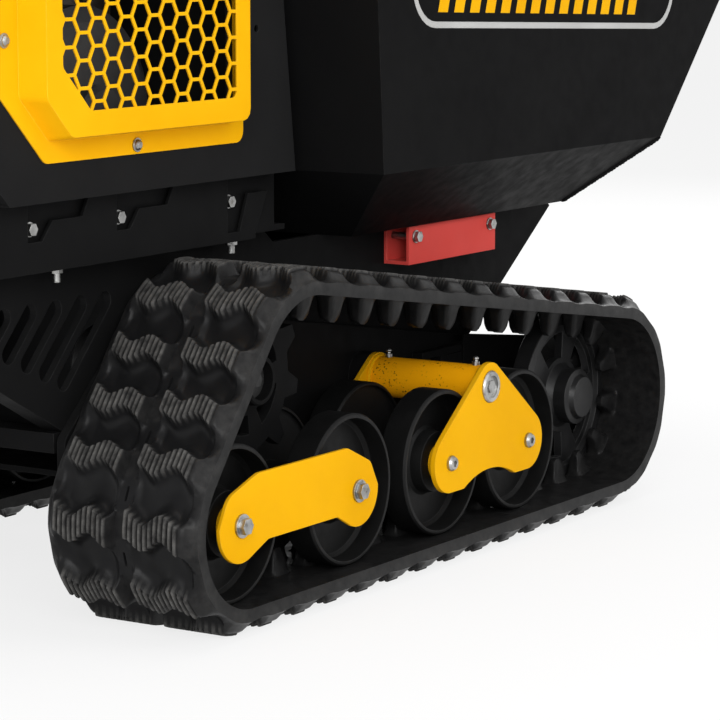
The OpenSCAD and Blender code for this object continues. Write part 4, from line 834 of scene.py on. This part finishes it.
def skip_side(x, z, sign, proud=0.0):
    """A point on the outside of the skip's upper side wall."""
    half = SKIP_HALF + (z - SKIP_CREASE_Z) * math.tan(SKIP_FLARE) + proud
    return Vector((AXLE_X + x, sign * half, z))


def trim_point(x, z, sign, proud):
    """A point of the trim, which falls a little towards the front."""
    return skip_side(x, z - TRIM_FALL * (x - TRIM_BOX[0]), sign, proud)


def plate_on_side(outline, sign):
    """A thin plate on the skip's side wall, from its outline in X and Z."""
    n = len(outline)
    inner = [trim_point(x, z, sign, -TRIM_T / 2) for x, z in outline]
    outer = [trim_point(x, z, sign, TRIM_T) for x, z in outline]
    faces = [tuple(range(n))[::-1], tuple(range(n, 2 * n))]
    faces += [(k, (k + 1) % n, n + (k + 1) % n, n + k) for k in range(n)]
    return inner + outer, faces


def rounded_frame(x0, z0, x1, z1, r, steps=8):
    """A rectangle in X and Z with round corners."""
    points = []
    centres = ((x1 - r, z1 - r), (x0 + r, z1 - r), (x0 + r, z0 + r), (x1 - r, z0 + r))
    for quarter, (cx, cz) in enumerate(centres):
        for k in range(steps + 1):
            a = math.radians(90 * quarter + 90 * k / steps)
            points.append((cx + r * math.cos(a), cz + r * math.sin(a)))
    return points


def trim_frame(x0, z0, x1, z1, r, sign):
    """A border strip: the ring between two rounded outlines."""
    outer = rounded_frame(x0, z0, x1, z1, r)
    inner = rounded_frame(x0 + TRIM_W, z0 + TRIM_W, x1 - TRIM_W, z1 - TRIM_W, r - TRIM_W)
    n = len(outer)
    flat = outer + inner
    verts = [trim_point(x, z, sign, proud) for proud in (-TRIM_T / 2, TRIM_T) for x, z in flat]
    faces = []
    for k in range(n):
        j = (k + 1) % n
        faces += [
            (k, j, n + j, n + k), (2 * n + k, 3 * n + k, 3 * n + j, 2 * n + j),
            (k, 2 * n + k, 2 * n + j, j), (n + k, n + j, 3 * n + j, 3 * n + k),
        ]
    return verts, faces


def trim_bars(x0, z0, x1, z1, sign):
    """A row of slanted bars inside the border."""
    verts, faces = [], []
    x = x0 + BAR_START
    while x + BAR_W + BAR_LEAN < x1 - BORDER_R:
        outline = [
            (x, z0 + BAR_IN), (x + BAR_W, z0 + BAR_IN),
            (x + BAR_W + BAR_LEAN, z1 - BAR_IN), (x + BAR_LEAN, z1 - BAR_IN),
        ]
        bar, bar_faces = plate_on_side(outline, sign)
        faces += [tuple(i + len(verts) for i in f) for f in bar_faces]
        verts += bar
        x += BAR_STEP
    return verts, faces


def skip_fittings(side, sign):
    """The weld at the skip's front corner, and the trim on its side wall."""
    low = Vector((AXLE_X + SKIP_FLOOR_FRONT, sign * SKIP_FLOOR_HALF, SKIP_FLOOR_Z))
    rise = SKIP_CREASE_Z - SKIP_FLOOR_Z
    high = Vector((low.x + rise / math.tan(SKIP_FRONT_SLOPE), sign * SKIP_HALF, SKIP_CREASE_Z))
    put(f"skip_weld_{side}", *weld_bead([low, high], SKIP_WELD_R), "frame_paint", "skip")
    border = trim_frame(*TRIM_BOX, BORDER_R, sign)
    put(f"skip_border_{side}", *border, "frame_paint", "skip", finish="skip_trim")
    put(f"skip_bars_{side}", *trim_bars(*TRIM_BOX, sign), "yellow_paint", "skip")


for side, sign in SIDES.items():
    skip_fittings(side, sign)


# Stage

FLOOR_HALF = 40.0

# Lights: name, place, target, size and power
LIGHTS = (
    ("key", (-3.2, -2.6, 1.7), (0, -0.2, 0.35), 2.2, 100),
    ("fill", (0.6, -3.8, 2.6), (0.2, -0.2, 0.3), 2.4, 34),
    ("front", (3.6, 0.9, 2.2), (0.2, 0.1, 0.4), 2.4, 45),
    ("top", (0.0, 0.4, 4.0), (0, 0, 0.4), 3.0, 70),
    ("rear", (0.5, 3.4, 2.4), (0, 0.2, 0.4), 2.4, 45),
)

# Camera, from the photograph's vanishing lines
CAMERA_AT = (-2.7656, -2.0019, 0.7043)
CAMERA_WAY = (0.8355, 0.5294, -0.1475)
CAMERA_LENS = 150.67
SENSOR = 36.0
CLIP_END = 200


def seen_rays(tree):
    """1 for the rays of the camera, of gloss and of glass, 0 for the rays that light the object."""
    path = add(tree, "ShaderNodeLightPath").outputs
    seen = path["Is Camera Ray"]
    for ray in ("Is Glossy Ray", "Is Transmission Ray"):
        seen = add(tree, "ShaderNodeMath", {0: seen, 1: path[ray]}, operation="MAXIMUM").outputs[0]
    return seen


def stage_material(name, colour, white_share):
    """A pale surface that the camera and mirrors see as near white, and that keeps a soft shadow."""
    material = bpy.data.materials.new(name)
    material.use_nodes = True
    tree = material.node_tree
    tree.nodes.clear()
    share = add(tree, "ShaderNodeMath", {0: seen_rays(tree), 1: white_share}, operation="MULTIPLY").outputs[0]
    pale = add(tree, "ShaderNodeBsdfDiffuse", {"Color": colour}).outputs[0]
    white = add(tree, "ShaderNodeEmission", {"Color": (1, 1, 1, 1), "Strength": 1.0}).outputs[0]
    mixed = add(tree, "ShaderNodeMixShader", {0: share, 1: pale, 2: white}).outputs[0]
    add(tree, "ShaderNodeOutputMaterial", {"Surface": mixed})
    return material


def pale_floor():
    """A large plain floor under the object."""
    mesh = bpy.data.meshes.new("floor")
    corners = [(x * FLOOR_HALF, y * FLOOR_HALF, 0) for x, y in ((-1, -1), (1, -1), (1, 1), (-1, 1))]
    mesh.from_pydata(corners, [], [(0, 1, 2, 3)])
    mesh.materials.append(stage_material("pale_floor", (0.86, 0.86, 0.86, 1), 0.8))
    floor = bpy.data.objects.new("floor", mesh)
    bpy.context.scene.collection.objects.link(floor)


def studio_world():
    """A white background that lights the object at half its strength."""
    world = bpy.data.worlds.new("studio")
    world.use_nodes = True
    bpy.context.scene.world = world
    tree = world.node_tree
    inputs = {"Value": seen_rays(tree), "To Min": 0.5, "To Max": 1.0}
    strength = add(tree, "ShaderNodeMapRange", inputs).outputs[0]
    set_inputs(tree, tree.nodes["Background"], {"Color": (1, 1, 1, 1), "Strength": strength})


def area_light(name, at, target, size, power):
    """A square lamp that points at its target."""
    data = bpy.data.lights.new(name, "AREA")
    data.shape = "SQUARE"
    data.size = size
    data.energy = power
    lamp = bpy.data.objects.new(name, data)
    lamp.location = at
    lamp.rotation_euler = (Vector(target) - Vector(at)).to_track_quat("-Z", "Y").to_euler()
    bpy.context.scene.collection.objects.link(lamp)


pale_floor()
studio_world()
for light in LIGHTS:
    area_light(*light)

camera_data = bpy.data.cameras.new("camera")
camera_data.sensor_width = SENSOR
camera_data.lens = CAMERA_LENS
camera_data.clip_end = CLIP_END
camera = bpy.data.objects.new("camera", camera_data)
camera.location = CAMERA_AT
camera.rotation_euler = Vector(CAMERA_WAY).to_track_quat("-Z", "Y").to_euler()
bpy.context.scene.collection.objects.link(camera)
bpy.context.scene.camera = camera
bpy.context.scene.view_settings.view_transform = "Standard"
